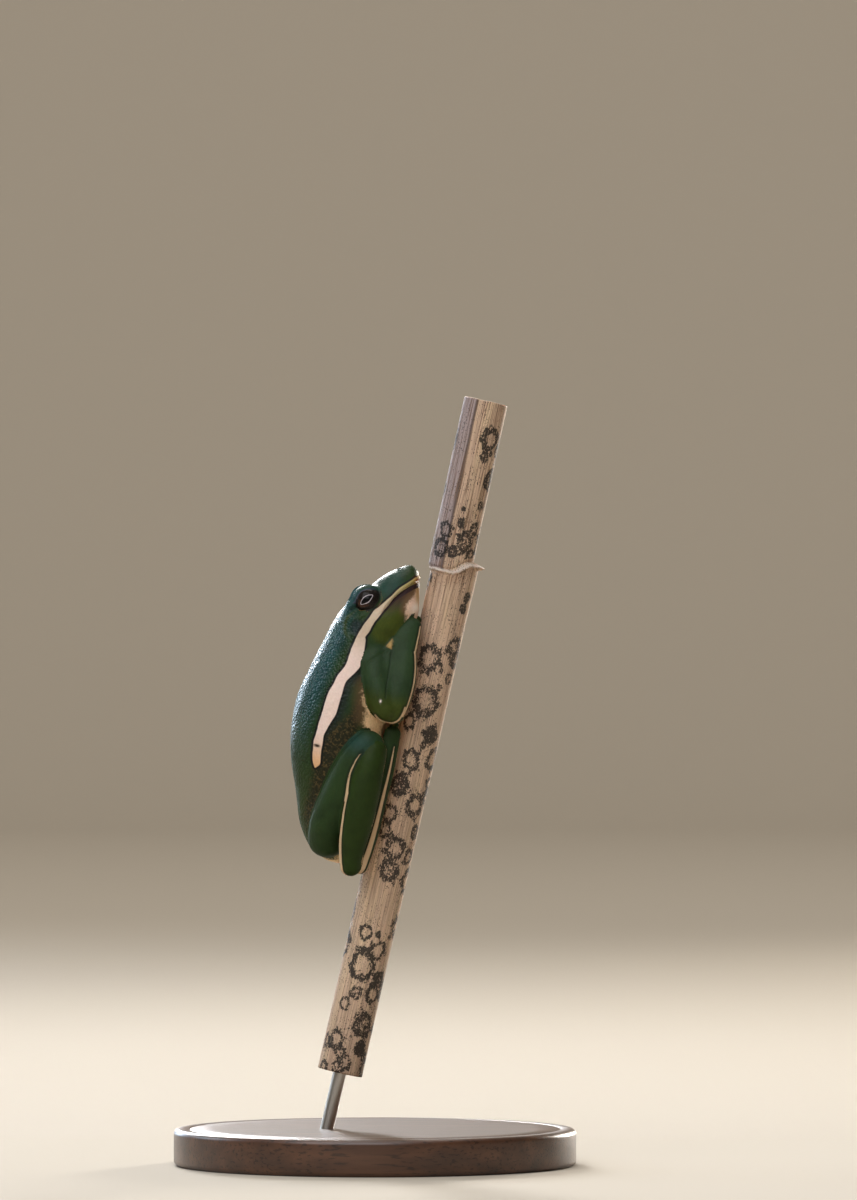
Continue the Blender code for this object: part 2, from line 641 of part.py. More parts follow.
def make_stand(wood, steel):
    low, high = rod_ends()
    skinned("stand_rod", reed_point(*reed_grid([low, high], 16), ROD_RADIUS), steel)

    turn = np.radians([0.0, 45.0, 90.0])
    profile = [(BASE_RADIUS - BASE_CHAMFER, 0.0), (BASE_RADIUS, BASE_CHAMFER)]
    profile += [(BASE_RADIUS - BASE_EDGE * (1 - math.cos(t)), BASE_HEIGHT - BASE_EDGE * (1 - math.sin(t)))
                for t in turn]
    sides = 48
    angle = np.arange(sides) * 2 * math.pi / sides
    rings = np.array([[(r * math.cos(a), r * math.sin(a), z) for a in angle] for r, z in profile])
    base = skinned("stand_base", rings, wood, to_points=lambda points: points * MM)
    cut(base, skinned("rod_hole", reed_point(*reed_grid([low - GAP, high], 16), ROD_RADIUS + GAP), wood))


def main():
    for thing in list(bpy.data.objects):
        bpy.data.objects.remove(thing)
    skin = material("frog_skin", SKIN_GREEN)
    iris = material("frog_eye", EYE_BRONZE)
    straw = material("dry_reed", DRY_REED)
    wood = material("stained_wood", STAINED_WOOD)
    steel = material("steel_rod", STEEL)
    make_torso(skin)
    make_head(skin)
    make_eye(1, "eye_right", iris)
    make_eye(-1, "eye_left", iris)
    make_limbs(skin)
    make_reed(straw)
    make_stand(wood, steel)


main()
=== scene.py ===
"""The looks of a green tree frog at rest on a dry reed, on a turned wooden stand, life size.

Lengths are in millimetres until a mesh is made. The frog and its reed share a leaning frame of their own:
u runs up the reed from the frog's heels, v from the reed's axis out to the frog's back, and w out of the
frog's right side, towards the camera.
"""

import math

import bpy
import numpy as np
from mathutils import Matrix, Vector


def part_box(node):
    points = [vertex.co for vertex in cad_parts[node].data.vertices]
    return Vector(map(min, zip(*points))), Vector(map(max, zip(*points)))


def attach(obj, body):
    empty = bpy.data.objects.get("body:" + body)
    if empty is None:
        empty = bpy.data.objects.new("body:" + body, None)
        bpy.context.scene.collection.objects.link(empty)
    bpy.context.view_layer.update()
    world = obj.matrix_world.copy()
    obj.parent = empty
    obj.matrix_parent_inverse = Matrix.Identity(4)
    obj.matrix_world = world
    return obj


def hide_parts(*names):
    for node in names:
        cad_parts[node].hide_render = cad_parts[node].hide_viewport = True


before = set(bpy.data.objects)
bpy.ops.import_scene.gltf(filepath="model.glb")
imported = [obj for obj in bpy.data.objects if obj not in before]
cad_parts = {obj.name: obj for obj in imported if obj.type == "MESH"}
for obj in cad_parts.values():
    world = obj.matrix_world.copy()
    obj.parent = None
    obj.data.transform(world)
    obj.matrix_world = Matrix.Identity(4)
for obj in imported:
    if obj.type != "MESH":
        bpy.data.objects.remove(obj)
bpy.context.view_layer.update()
MM = 0.001


# The base is a disc of beech, turned on a lathe, stained dark brown and given satin varnish. A small
# round over runs along its upper edge, and it stands flat on a thin chamfer.
BASE_LOW, BASE_HIGH = (np.array(corner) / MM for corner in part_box("stand_base"))
BASE_RADIUS = (BASE_HIGH[0] - BASE_LOW[0]) / 2
BASE_HEIGHT = BASE_HIGH[2]
BASE_ROUND = 0.9
BASE_CHAMFER = 0.5
BASE_BEAD = 2.4              # the shallow turned line on top, in from the edge
TURNED_SIDES = 160


def full_turn(sides):
    """Angles at even steps, once round a circle."""
    return np.arange(sides) * 2 * math.pi / sides


def rings_piece(name, rings, closed=True):
    """A skin over rings of points (ring, point, 3) in world millimetres: each ring is joined to the next
    by four-sided faces, and the first and last are closed by fans to their middles."""
    count, sides, _ = rings.shape
    ring, side = np.indices((count - 1, sides)).reshape(2, -1)
    beside = (side + 1) % sides
    walls = np.stack([ring * sides + side, ring * sides + beside,
                      (ring + 1) * sides + beside, (ring + 1) * sides + side], axis=1)
    edge = np.arange(sides)
    last = (count - 1) * sides
    fans = [np.stack([np.full(sides, count * sides), (edge + 1) % sides, edge], axis=1),
            np.stack([np.full(sides, count * sides + 1), last + edge, last + (edge + 1) % sides], axis=1)]
    points = np.vstack([rings.reshape(-1, 3), rings[[0, -1]].mean(1)])
    if not closed:
        return mesh_piece(name, points[:-2], walls.tolist())
    return mesh_piece(name, points, walls.tolist() + np.vstack(fans).tolist())


def mesh_piece(name, points, faces):
    """A smooth-shaded mesh object at the origin, from world points in millimetres."""
    mesh = bpy.data.meshes.new(name)
    mesh.from_pydata((points * MM).tolist(), [], faces)
    mesh.shade_smooth()
    piece = bpy.data.objects.new(name, mesh)
    bpy.context.scene.collection.objects.link(piece)
    return piece


def turned(name, profile, closed=True):
    """A turned shape: each (radius, height) of the profile carried round the upright axis."""
    radius, height = np.array(profile, float).T
    turn = full_turn(TURNED_SIDES)
    ring = np.stack([np.cos(turn), np.sin(turn), np.zeros(TURNED_SIDES)], axis=1)
    rings = radius[:, None, None] * ring + height[:, None, None] * np.array([0, 0, 1.0])
    return rings_piece(name, rings, closed)


def linear(colour):
    """An sRGB hex colour as linear red, green, blue and alpha."""
    parts = np.array([int(colour[k:k + 2], 16) for k in (1, 3, 5)]) / 255
    return (*np.where(parts <= 0.04045, parts / 12.92, ((parts + 0.055) / 1.055) ** 2.4), 1.0)


class Paint:
    """A material and its nodes. Each input of a node takes a number, a hex colour, or the socket that feeds
    it, and each method gives the socket that comes out."""

    def __init__(self, name, **shader_values):
        self.material = bpy.data.materials.new(name)
        self.material.use_nodes = True
        self.tree = self.material.node_tree
        self.shader = self.tree.nodes["Principled BSDF"]
        self.feed(**shader_values)

    def fill(self, socket, value):
        if isinstance(value, bpy.types.NodeSocket):
            self.tree.links.new(value, socket)
        else:
            socket.default_value = linear(value) if isinstance(value, str) else value

    def feed(self, **values):
        """Sets or links inputs of the shader. An underscore stands for the space in an input's name."""
        for name, value in values.items():
            self.fill(self.shader.inputs[name.replace("_", " ")], value)

    def add(self, kind, inputs, output=0, **settings):
        node = self.tree.nodes.new("ShaderNode" + kind)
        for setting, value in settings.items():
            setattr(node, setting, value)
        for key, value in inputs.items():
            self.fill(node.inputs[key], value)
        return node.outputs[output]

    def where(self):
        return self.add("TexCoord", {}, "Object")

    def mapped(self, place, **change):
        return self.add("Mapping", {"Vector": place, **change})

    def noise(self, place, scale, detail, roughness=0.5):
        return self.add("TexNoise", {"Vector": place, "Scale": scale, "Detail": detail,
                                     "Roughness": roughness})

    def field(self, name, low=None, high=None):
        """A number stored on the mesh, or its smooth rise from 0 to 1 between two values."""
        value = self.add("Attribute", {}, "Fac", attribute_name=name)
        return value if low is None else self.ranged(value, low, high, smooth=True)

    def ranged(self, value, low, high, start=0.0, end=1.0, smooth=False):
        """The value carried over from low and high to start and end, and held there outside them."""
        return self.add("MapRange", {"Value": value, 1: low, 2: high, 3: start, 4: end},
                        interpolation_type="SMOOTHSTEP" if smooth else "LINEAR")

    def math(self, operation, first, second=0.0):
        return self.add("Math", {0: first, 1: second}, operation=operation)

    def left_by(self, share):
        return self.math("SUBTRACT", 1.0, share)

    def times(self, first, second):
        return self.math("MULTIPLY", first, second)

    def plus(self, first, second):
        return self.math("ADD", first, second)

    def unsteady(self, value, noise, reach):
        """The value moved up and down by a noise about 0.5, times a reach."""
        return self.plus(value, self.times(self.plus(noise, -0.5), reach))

    def mix(self, share, under, over, blend="MIX"):
        """One colour laid over another by a share."""
        return self.add("Mix", {0: share, 6: under, 7: over}, 2, data_type="RGBA", blend_type=blend)

    def shaded(self, colour, factor):
        return self.mix(1.0, colour, factor, "MULTIPLY")

    def tint(self, under, name, strength, over):
        """One colour laid over another by a number stored on the mesh, times a strength."""
        return self.mix(self.times(self.field(name), strength), under, over)

    def ramp(self, value, stops):
        """A colour ramp. Its stops are places and colours, the two ends first."""
        colours = self.add("ValToRGB", {"Fac": value})
        points = colours.node.color_ramp.elements
        for k, (place, colour) in enumerate(stops):
            point = points[k] if k < 2 else points.new(place)
            point.position = place
            point.color = linear(colour)
        return colours

    def bump(self, height, strength, distance, invert=False, **under):
        """A bump from a height. An earlier bump under it is given as Normal."""
        return self.add("Bump", {"Height": height, "Strength": strength, "Distance": distance, **under},
                        invert=invert)


def finish_piece(piece, paint, slot, *nodes):
    """Gives the piece its paint, and lets it stand for its nodes of the frame."""
    piece.data.materials.append(paint.material)
    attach(piece, "root")
    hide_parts(*nodes)


def set_attributes(piece, **fields):
    """Stores numbers for each point of the mesh. Fan middles, which come last, take the last value."""
    for name, values in fields.items():
        numbers = np.full(len(piece.data.vertices), values[-1], dtype=np.float32)
        numbers[:len(values)] = values
        piece.data.attributes.new(name, "FLOAT", "POINT").data.foreach_set("value", numbers)


round_over = [(BASE_RADIUS - BASE_ROUND * (1 - math.cos(turn)),
               BASE_HEIGHT - BASE_ROUND * (1 - math.sin(turn)))
              for turn in np.radians(np.linspace(0, 90, 9))]
bead = [(BASE_RADIUS - BASE_BEAD - step, BASE_HEIGHT - dip)
        for step, dip in ((0.0, 0.0), (0.12, 0.08), (0.25, 0.12), (0.38, 0.08), (0.5, 0.0))]
base = turned("base", [(BASE_RADIUS * 0.6, 0.0), (BASE_RADIUS - BASE_CHAMFER - 0.3, 0.0),
                       (BASE_RADIUS - BASE_CHAMFER, 0.05), (BASE_RADIUS - 0.05, BASE_CHAMFER),
                       (BASE_RADIUS, BASE_CHAMFER + 0.3)] + round_over + bead
              + [(BASE_RADIUS * share, BASE_HEIGHT) for share in (0.8, 0.5, 0.2)])

# Beech stained dark: the growth rings show as faint straight bands across the disc, and the pores as
# short dashes.
beech = Paint("stained beech under satin varnish", Roughness=0.38, Coat_Weight=0.35, Coat_Roughness=0.22)
along_grain = beech.mapped(beech.where(), Scale=(60, 1100, 1100), Rotation=(0, 0, 0.3))
wood_tone = beech.ramp(beech.noise(along_grain, 0.35, 3.0),
                       [(0.3, "#3A2418"), (0.7, "#5A3A26"), (0.5, "#4A2E1E")])
pores = beech.ranged(beech.noise(along_grain, 2.4, 2.0), 0.36, 0.44, 0.45, 1.0)
beech.feed(Base_Color=beech.shaded(wood_tone, pores), Normal=beech.bump(pores, 0.2, 0.0001))
finish_piece(base, beech, "stained_wood", "stand_base")


# The frog and the reed lean together. The reed's axis at the height of the frog's heels is the origin of
# their frame, and it leans towards +X, as the reed in the photo does.
LEAN = math.radians(12.9)
HEELS = np.array([1.6, 0.0, 47.4])
AXES = np.array([[math.sin(LEAN), 0.0, math.cos(LEAN)],
                 [-math.cos(LEAN), 0.0, math.sin(LEAN)],
                 [0.0, -1.0, 0.0]])


def to_world(points):
    """Points u, v, w of the leaning frame in world millimetres."""
    return HEELS + points @ AXES


def round_axis(u, radius, turn, shift=0.0):
    """Points round the reed's axis: height, radius, angle from the frog's side, and the axis's shift."""
    return np.stack(np.broadcast_arrays(u, shift + radius * np.cos(turn), radius * np.sin(turn)), axis=-1)


# The rod is drawn stainless steel, 2.2 mm thick. It is glued into a slanting hole in the base and runs up
# into the reed's hollow foot.
ROD_RADIUS = 1.1
ROD_ENDS = (-45.9, -27.3)
ROD_ROWS, ROD_SIDES = 12, 48
rod = rings_piece("rod", to_world(round_axis(np.linspace(*ROD_ENDS, ROD_ROWS)[:, None], ROD_RADIUS,
                                             full_turn(ROD_SIDES))))
steel = Paint("drawn stainless steel", Metallic=1.0, Roughness=0.3, Base_Color="#C9C7C2")
drawn = steel.mapped(steel.where(), Rotation=(0, -LEAN, 0), Scale=(9000, 9000, 150))
steel.feed(Normal=steel.bump(steel.noise(drawn, 1.0, 2.0), 0.25, 0.00003))
finish_piece(rod, steel, "steel_rod", "stand_rod")


# The reed is a dry, weathered stem, cut square at both ends. It is hollow, ribbed along its length, and
# swells towards a joint, above which it is thinner and half wrapped in a grey leaf sheath. Black mould
# grows on it in rings and specks.
REED_RADIUS = 3.7
REED_FOOT, JOINT_U, REED_TOP = -33.0, 51.5, 79.5
JOINT_SWELL, SWELL_LENGTH = 0.12, 8.0
UPPER_RADIUS, UPPER_SHIFT = 3.45, 0.7
KINK = math.radians(0.8)
REED_WALL = 0.85
HOLLOW_DEPTH = 19.5
SHEATH = 0.25
SHEATH_EDGE = math.radians(65)       # where its free edge runs, round from the frog's side
SHEATH_BACK = math.radians(-120)
REED_SIDES = 144
ROWS_BELOW, ROWS_AT_JOINT, ROWS_ABOVE = 240, 60, 130


def smooth_step(value, low, high):
    """0 below low, 1 above high, and an S-shaped cubic between them."""
    share = np.clip((value - low) / (high - low), 0, 1)
    return share * share * (3 - 2 * share)


def fading(value, low, high):
    """1 below low, 0 above high, and an S-shaped cubic between them."""
    return smooth_step(-value, -high, -low)


def hill(distance, width):
    """A bell curve: 1 at no distance, falling off over the width."""
    return np.exp(-(distance / width) ** 2)


def waves(*coordinates, seed, octaves=4, size=1.0):
    """Smooth noise about 0: sums of sines along random directions, each octave half as long and as high."""
    draw = np.random.default_rng(seed)
    place = np.stack(np.broadcast_arrays(*coordinates), axis=-1) / size
    total = 0
    for octave in range(octaves):
        for _ in range(4):
            direction = draw.normal(size=place.shape[-1]) * 2 ** octave
            total = total + np.sin(place @ direction + draw.uniform(0, 2 * math.pi)) / 2 ** octave / 4
    return total


def joint_height(angle):
    """Height of the joint's ring, which slants up on the side away from the frog."""
    return JOINT_U - 0.5 + 1.9 * smooth_step(1 - np.cos(angle), 0.9, 1.8)


def reed_surface(u, angle):
    """The reed's outer skin. Radius: the stem's own, more towards the joint, plus ribs, dents, the ragged
    ring and the sheath. The axis is set over above the joint."""
    above = u - joint_height(angle)
    radius = REED_RADIUS + JOINT_SWELL * hill(above, SWELL_LENGTH)
    radius = radius + (UPPER_RADIUS - radius) * smooth_step(above, 0.0, 0.35)
    ribs = (0.5 * np.sin(34 * angle + waves(u, seed=3, size=22))
            + 0.5 * np.sin(55 * angle + 2.0 + waves(u, seed=4, size=17)))
    radius = radius + 0.022 * ribs + 0.05 * waves(u / 9, np.cos(angle), np.sin(angle), seed=5)
    ragged = 1 + 0.6 * waves(angle * 3, seed=6, size=0.5)
    radius = radius + 0.22 * ragged * hill(above + 0.1 * ragged, 0.26)
    radius = radius - 0.16 * hill(above - 0.35, 0.2) - 0.08 * hill(above + 0.5, 0.2)
    radius = radius + 0.6 * smooth_step(hill(above + 0.1, 0.62) * hill(np.cos(angle) + 1, 0.2), 0.3, 0.7)
    wrapped = smooth_step(SHEATH_EDGE + 0.05 * waves(u, seed=8, size=9) - angle, -0.02, 0.02)
    wrapped = wrapped * smooth_step(angle - SHEATH_BACK, -0.02, 0.02) * smooth_step(above, 0.1, 0.3)
    radius = radius + SHEATH * wrapped
    past = np.maximum(u - JOINT_U, 0)
    shift = UPPER_SHIFT * smooth_step(above, -0.2, 0.5) + past * math.sin(KINK)
    return radius, shift, above, wrapped


angle = full_turn(REED_SIDES) - math.pi
near_joint = JOINT_U + np.linspace(-2.5, 3.5, ROWS_AT_JOINT)
rows = np.unique(np.concatenate([np.linspace(REED_FOOT, near_joint[0], ROWS_BELOW), near_joint,
                                 np.linspace(near_joint[-1], REED_TOP, ROWS_ABOVE)]))
u, turn = np.meshgrid(rows, angle, indexing="ij")
radius, shift, above, wrapped = reed_surface(u, turn)
worn = 0.06 * waves(np.cos(angle), np.sin(angle), seed=9, size=0.3)
bore = UPPER_RADIUS - REED_WALL
rod_hole = ROD_RADIUS + 0.35
lower_inside = [round_axis(REED_FOOT + depth, radii, angle)
                for depth, radii in ((6.0, 0.3), (6.0, rod_hole), (0.15, rod_hole), (0.0, rod_hole + 0.15),
                                     (0.0, 2.6), (0.02, 3.3))]
upper_inside = [round_axis(REED_TOP + height + worn, bore + wider, angle, shift[-1])
                for height, wider in ((0.1, radius[-1] - bore - 0.12), (0.14, 0.45), (0.06, 0.12),
                                      (-0.15, 0.0))]
upper_inside += [round_axis(REED_TOP - depth, radii * bore, angle, shift[-1] - depth * math.sin(KINK))
                 for depth, radii in ((4.0, 1.0), (10.0, 0.99), (17.0, 0.98), (19.0, 0.9),
                                      (HOLLOW_DEPTH, 0.5))]
reed_rings = np.concatenate([lower_inside, round_axis(u, radius, turn, shift), upper_inside])
reed = rings_piece("reed_stem", to_world(reed_rings))

# Mould on the reed: height u, angle round from the frog's side in degrees, size, and how open its middle is.
MOULD_SEEN = [
    (36.3, 74, 1.8, 0.8), (29.5, 93, 2.13, 0.6), (39.0, 137, 1.48, 0.5), (37.1, 154, 1.31, 0.4),
    (34.0, 145, 0.82, 0.6), (25.7, 61, 0.98, 1.0), (24.2, 124, 1.48, 0.0), (19.5, 87, 1.31, 0.7),
    (15.4, 75, 1.8, 0.2), (12.5, 127, 1.48, 0.8), (10.2, 64, 1.31, 0.7), (7.5, 63, 1.15, 0.5),
    (5.0, 102, 1.64, 0.6), (8.3, 150, 0.98, 0.3), (3.9, 145, 1.15, 0.5), (1.1, 97, 1.64, 0.4),
    (-9.5, 76, 0.98, 1.0), (-12.1, 116, 1.31, 1.0), (-9.5, 109, 0.66, 0.0), (-15.1, 83, 1.97, 0.9),
    (-16.7, 141, 1.48, 0.1), (-19.3, 131, 1.15, 1.0), (-19.6, 85, 0.98, 0.4), (-21.6, 62, 0.82, 1.0),
    (-24.5, 122, 1.8, 0.3), (-27.7, 60, 1.15, 1.0), (-28.3, 34, 0.98, 0.5), (-28.4, 129, 1.31, 0.0),
    (-31.0, 97, 0.98, 0.6), (-32.1, 80, 0.98, 0.5), (-32.6, 38, 0.98, 0.5), (-29.5, 78, 0.82, 0.5),
    (73.6, 125, 1.48, 0.9), (70.6, 118, 0.8, 0.2), (71.3, 135, 0.5, 0.0), (62.6, 140, 0.7, 0.3),
    (54.5, 49, 1.5, 0.5), (54.4, 84, 0.9, 0.1), (56.4, 115, 1.5, 0.4), (54.2, 140, 1.1, 0.4),
    (57.6, 54, 1.1, 0.6), (59.2, 92, 0.8, 0.0), (58.6, 135, 0.9, 0.4), (61.5, 90, 0.4, 0.0),
    (47.4, 142, 0.8, 0.1), (45.6, 138, 0.8, 0.1), (32.2, 118, 0.5, 0.2), (22.4, 112, 0.6, 0.1)]
UNSEEN_SPOTS = 70
draw = np.random.default_rng(12)
mould_behind = zip(*(draw.uniform(low, high, UNSEEN_SPOTS)
                     for low, high in ((-32, 78), (150, 370), (0.6, 1.8), (0, 1))))
flat_u, flat_turn, flat_above = u.ravel(), turn.ravel(), above.ravel()
raggedness = 1 + 0.3 * waves(flat_u, REED_RADIUS * np.cos(flat_turn), REED_RADIUS * np.sin(flat_turn),
                             seed=13, size=0.7)
spots = np.zeros(flat_u.size)
for height, degrees, size, open_middle in [*MOULD_SEEN, *mould_behind]:
    round_by = (flat_turn - math.radians(degrees) + math.pi) % (2 * math.pi) - math.pi
    reach = np.hypot(round_by * REED_RADIUS, (flat_u - height) * 0.85) / (1.15 * size) * raggedness
    ring = hill(reach - 0.82, 0.4)
    filled = 1 - smooth_step(reach, 0.6, 1.3)
    spots = np.maximum(spots, ring * open_middle + filled * (1 - open_middle))


def on_outer(values, elsewhere=0.0):
    """A number for each point of the reed: these on its outer skin, another on its ends and hollows."""
    numbers = np.full(reed_rings.shape[:2], elsewhere)
    numbers[len(lower_inside):len(lower_inside) + len(rows)] = values.reshape(u.shape)
    return numbers.ravel()


# Millimetres from the sheath's free edge, which runs at this radius, and from the joint.
SHEATH_OUT = 3.6
NO_EDGE, NO_JOINT = 5.0, 20.0
edge_off = np.where(flat_above > 0, np.abs(SHEATH_EDGE - flat_turn) * SHEATH_OUT, NO_EDGE)
set_attributes(reed, mould=on_outer(spots * smooth_step(np.abs(flat_above - 0.1), 0.5, 1.0)),
               sheath=on_outer(wrapped), sheath_edge=on_outer(edge_off, NO_EDGE),
               from_joint=on_outer(above, NO_JOINT))

# Weathered straw: pale tan fibres 0.2 mm apart, with pinkish and grey lengths, and a grey lilac sheath. Brown
# stains lie under the joint, its ragged rim is painted pale as a highlight, and mould is laid over all as
# black specks.
straw = Paint("weathered reed straw", Roughness=0.62, Specular_IOR_Level=0.35, Subsurface_Weight=0.08,
              Subsurface_Scale=0.0006)
stood_up = straw.mapped(straw.where(), Rotation=(0, -LEAN, 0))
fibres = straw.noise(straw.mapped(stood_up, Scale=(5200, 5200, 120)), 1.0, 3.0)
bands = straw.noise(straw.mapped(stood_up, Scale=(1100, 1100, 40)), 1.0, 2.0)
fibre_tone = straw.ranged(fibres, 0.36, 0.64, 0.68, 1.1)
tone = straw.ramp(bands, [(0.3, "#BFA28A"), (0.72, "#D3B899"), (0.5, "#C9AC92"), (0.6, "#CDB193")])
tone = straw.tint(straw.shaded(tone, fibre_tone), "sheath", 1.0, straw.shaded("#A1908D", fibre_tone))
tone = straw.mix(straw.ranged(straw.field("sheath_edge"), 0.05, 0.3, 0.75, 0.0), tone, "#3E3029")
from_joint = straw.field("from_joint")
stained = straw.times(straw.ranged(from_joint, -3.2, -0.3, 0.0, 0.6, smooth=True),
                      straw.math("LESS_THAN", from_joint, 0.0))
tone = straw.mix(straw.times(stained, bands), tone, "#8A5A33")
streaked = straw.times(straw.ranged(from_joint, -8.0, -2.0, 0.15, 0.75, smooth=True),
                       straw.ranged(fibres, 0.38, 0.48, 1.0, 0.0))
tone = straw.mix(streaked, tone, "#6E5038")
speck_place = straw.mapped(stood_up, Scale=(1500, 1500, 1000))
speck_noise = straw.noise(speck_place, 2.5, 4.0, 0.7)
# The joint's ragged rim is painted pale, a painted highlight.
rim_off = straw.plus(straw.math("ABSOLUTE", straw.plus(from_joint, 0.05)), speck_noise)
tone = straw.mix(straw.ranged(rim_off, 0.62, 0.85, 0.8, 0.0), tone, "#D6C8BC")
density = straw.ranged(straw.field("mould"), 0.0, 1.0, -0.3, 0.11)
specks = straw.ranged(straw.plus(speck_noise, density), 0.46, 0.51, 0.0, 0.93)
clumped = straw.times(straw.noise(speck_place, 0.22, 2.0), 0.35)
fine_specks = straw.ranged(straw.plus(straw.noise(speck_place, 3.4, 2.0), clumped), 0.79, 0.84, 0.0, 0.8)
tone = straw.mix(straw.math("MAXIMUM", specks, fine_specks), tone, "#12110F")
straw.feed(Base_Color=tone, Normal=straw.bump(fibres, 0.55, 0.00008))
finish_piece(reed, straw, "dry_reed", "reed")


# The frog's skin is one moist, thin surface over its whole body and limbs. It is lofted from the same
# sections as the solids, welded, eased where limbs grow from the body, and then given its lips,
# nostrils, lids, eardrums and folds. Each row of the body: back line u, v; belly line u, v; half width;
# how much wider it is below its middle than above; and how square it is.
TORSO = [
    (0.5, 10.0, 0.4, 7.9, 1.5, 0.0, 0.05),
    (1.4, 12.3, 0.9, 6.7, 3.4, 0.0, 0.05),
    (3.3, 14.2, 2.7, 5.8, 4.7, 0.0, 0.05),
    (6.2, 15.9, 5.6, 5.2, 5.7, 0.0, 0.05),
    (10.8, 17.5, 10.0, 4.9, 6.7, 0.0, 0.06),
    (14.4, 18.95, 14.0, 4.75, 7.8, 0.02, 0.07),
    (18.0, 20.0, 18.2, 4.75, 8.6, 0.05, 0.08),
    (22.3, 20.6, 22.5, 4.85, 9.1, 0.07, 0.08),
    (26.3, 20.5, 27.0, 5.1, 9.0, 0.07, 0.08),
    (30.0, 19.75, 30.8, 5.4, 8.5, 0.05, 0.09),
    (33.2, 18.95, 33.4, 5.5, 8.0, 0.03, 0.11),
    (36.0, 18.25, 35.5, 5.4, 7.6, 0.02, 0.13),
]
HEAD = [
    (38.3, 17.65, 37.4, 5.15, 7.4, 0.06, 0.15),
    (40.5, 16.9, 39.2, 4.85, 7.35, 0.14, 0.17),
    (42.4, 15.8, 40.9, 4.55, 7.15, 0.21, 0.18),
    (43.9, 14.5, 42.4, 4.3, 6.8, 0.25, 0.22),
    (45.2, 13.35, 43.9, 4.3, 6.3, 0.24, 0.25),
    (46.5, 12.4, 45.2, 4.55, 5.6, 0.2, 0.27),
    (47.75, 11.4, 46.4, 4.85, 4.85, 0.18, 0.26),
    (48.9, 10.2, 47.4, 5.0, 4.1, 0.16, 0.22),
    (49.75, 8.95, 48.3, 5.15, 3.25, 0.13, 0.14),
    (50.3, 7.9, 49.0, 5.45, 2.35, 0.08, 0.06),
    (50.45, 7.1, 49.7, 5.9, 1.2, 0.0, 0.05),
]
# Each row of a right limb: its centre u, v, w; half width in the plane of u and v; half thickness.
UPPER_ARM = [(35.3, 9.7, 5.7, 2.35, 2.0), (33.2, 9.15, 6.7, 2.5, 2.15), (30.6, 8.25, 7.7, 2.2, 2.2),
             (28.0, 7.05, 8.2, 2.1, 2.2), (26.7, 5.95, 8.3, 2.05, 2.15)]
FOREARM = [(26.4, 4.6, 7.9, 1.9, 1.7), (28.2, 4.45, 8.0, 2.15, 1.85), (30.8, 4.4, 7.7, 2.3, 1.85),
           (33.6, 4.55, 7.2, 2.2, 1.7), (36.0, 4.9, 6.7, 1.95, 1.45)]
PALM = [(35.8, 4.95, 6.7, 1.9, 1.35), (38.4, 5.15, 6.2, 2.05, 1.15), (39.8, 5.15, 5.9, 2.0, 1.05),
        (41.1, 5.1, 5.5, 1.85, 0.9)]
THIGH = [(3.8, 10.6, 4.3, 3.1, 2.9), (6.6, 10.8, 6.1, 3.1, 2.9), (10.8, 10.3, 7.6, 2.95, 2.8),
         (15.0, 9.5, 8.5, 2.85, 2.6), (18.4, 8.4, 9.0, 2.75, 2.5), (20.3, 7.3, 9.1, 2.7, 2.4)]
SHANK = [(19.7, 6.4, 9.7, 2.25, 2.0), (17.4, 6.4, 10.0, 2.4, 2.2), (13.6, 6.5, 10.0, 2.7, 2.3),
         (9.4, 6.5, 9.7, 2.75, 2.2), (5.2, 6.4, 9.0, 2.4, 1.9), (2.0, 6.15, 8.3, 1.95, 1.6),
         (0.5, 5.85, 7.9, 1.75, 1.5)]
ANKLE = [(0.9, 4.5, 6.9, 1.4, 1.3), (4.0, 4.15, 6.2, 1.45, 1.3), (8.0, 3.95, 5.8, 1.5, 1.3),
         (12.0, 3.9, 5.7, 1.5, 1.25), (16.0, 3.85, 5.6, 1.55, 1.2), (19.8, 3.9, 5.4, 1.5, 1.1),
         (23.2, 4.0, 5.3, 1.35, 0.95)]
# Flesh between the folded forearm and upper arm, which press together along the crease of the elbow.
ARM_FILL = [(27.6, 5.9, 8.2, 1.3, 1.65), (29.2, 6.3, 8.1, 1.6, 1.55), (31.0, 6.6, 7.8, 1.7, 1.5),
            (33.2, 6.9, 7.2, 1.7, 1.45), (35.4, 7.1, 6.6, 1.6, 1.3), (37.2, 6.9, 6.3, 1.4, 1.1)]
# Each digit: its root u, v, w; its pad's u and angle round the reed in degrees; and its half thickness.
FINGERS = [((39.0, 4.7, 5.3), 34.8, 27.0, 0.6), ((40.0, 4.5, 5.2), 37.2, 19.0, 0.6),
           ((40.8, 4.6, 5.1), 39.6, 18.0, 0.62), ((41.3, 5.0, 5.2), 41.8, 25.0, 0.62)]
TOES = [((17.6, 3.6, 4.9), 20.6, 23.0, 0.56), ((20.6, 3.6, 4.9), 24.6, 17.0, 0.58),
        ((22.4, 3.7, 4.9), 28.8, 18.0, 0.6), ((23.2, 3.9, 5.2), 32.6, 32.0, 0.64),
        ((22.0, 4.4, 5.6), 29.2, 45.0, 0.6)]
PAD_HALF_WIDTH, PAD_HALF_LENGTH, PAD_HALF_THICKNESS = 1.0, 1.0, 0.45
PAD_LIFT = 0.3               # between the reed's own radius and a pad's lower face
WELD_STEP = 0.15             # the edge of the little cubes in which the tubes are welded
SKIN_TRIANGLES = 190000
BODY_ROWS, BODY_SIDES = 230, 150
LIMB_ROWS, DIGIT_ROWS, LIMB_SIDES = 60, 46, 48
SOFTENING, SOFTENING_ROUNDS = 0.5, 4         # all over, after the weld
BLENDING, BLENDING_ROUNDS = 0.6, 45          # where limbs grow from the body


def unit(vectors):
    return vectors / np.linalg.norm(vectors, axis=-1, keepdims=True)


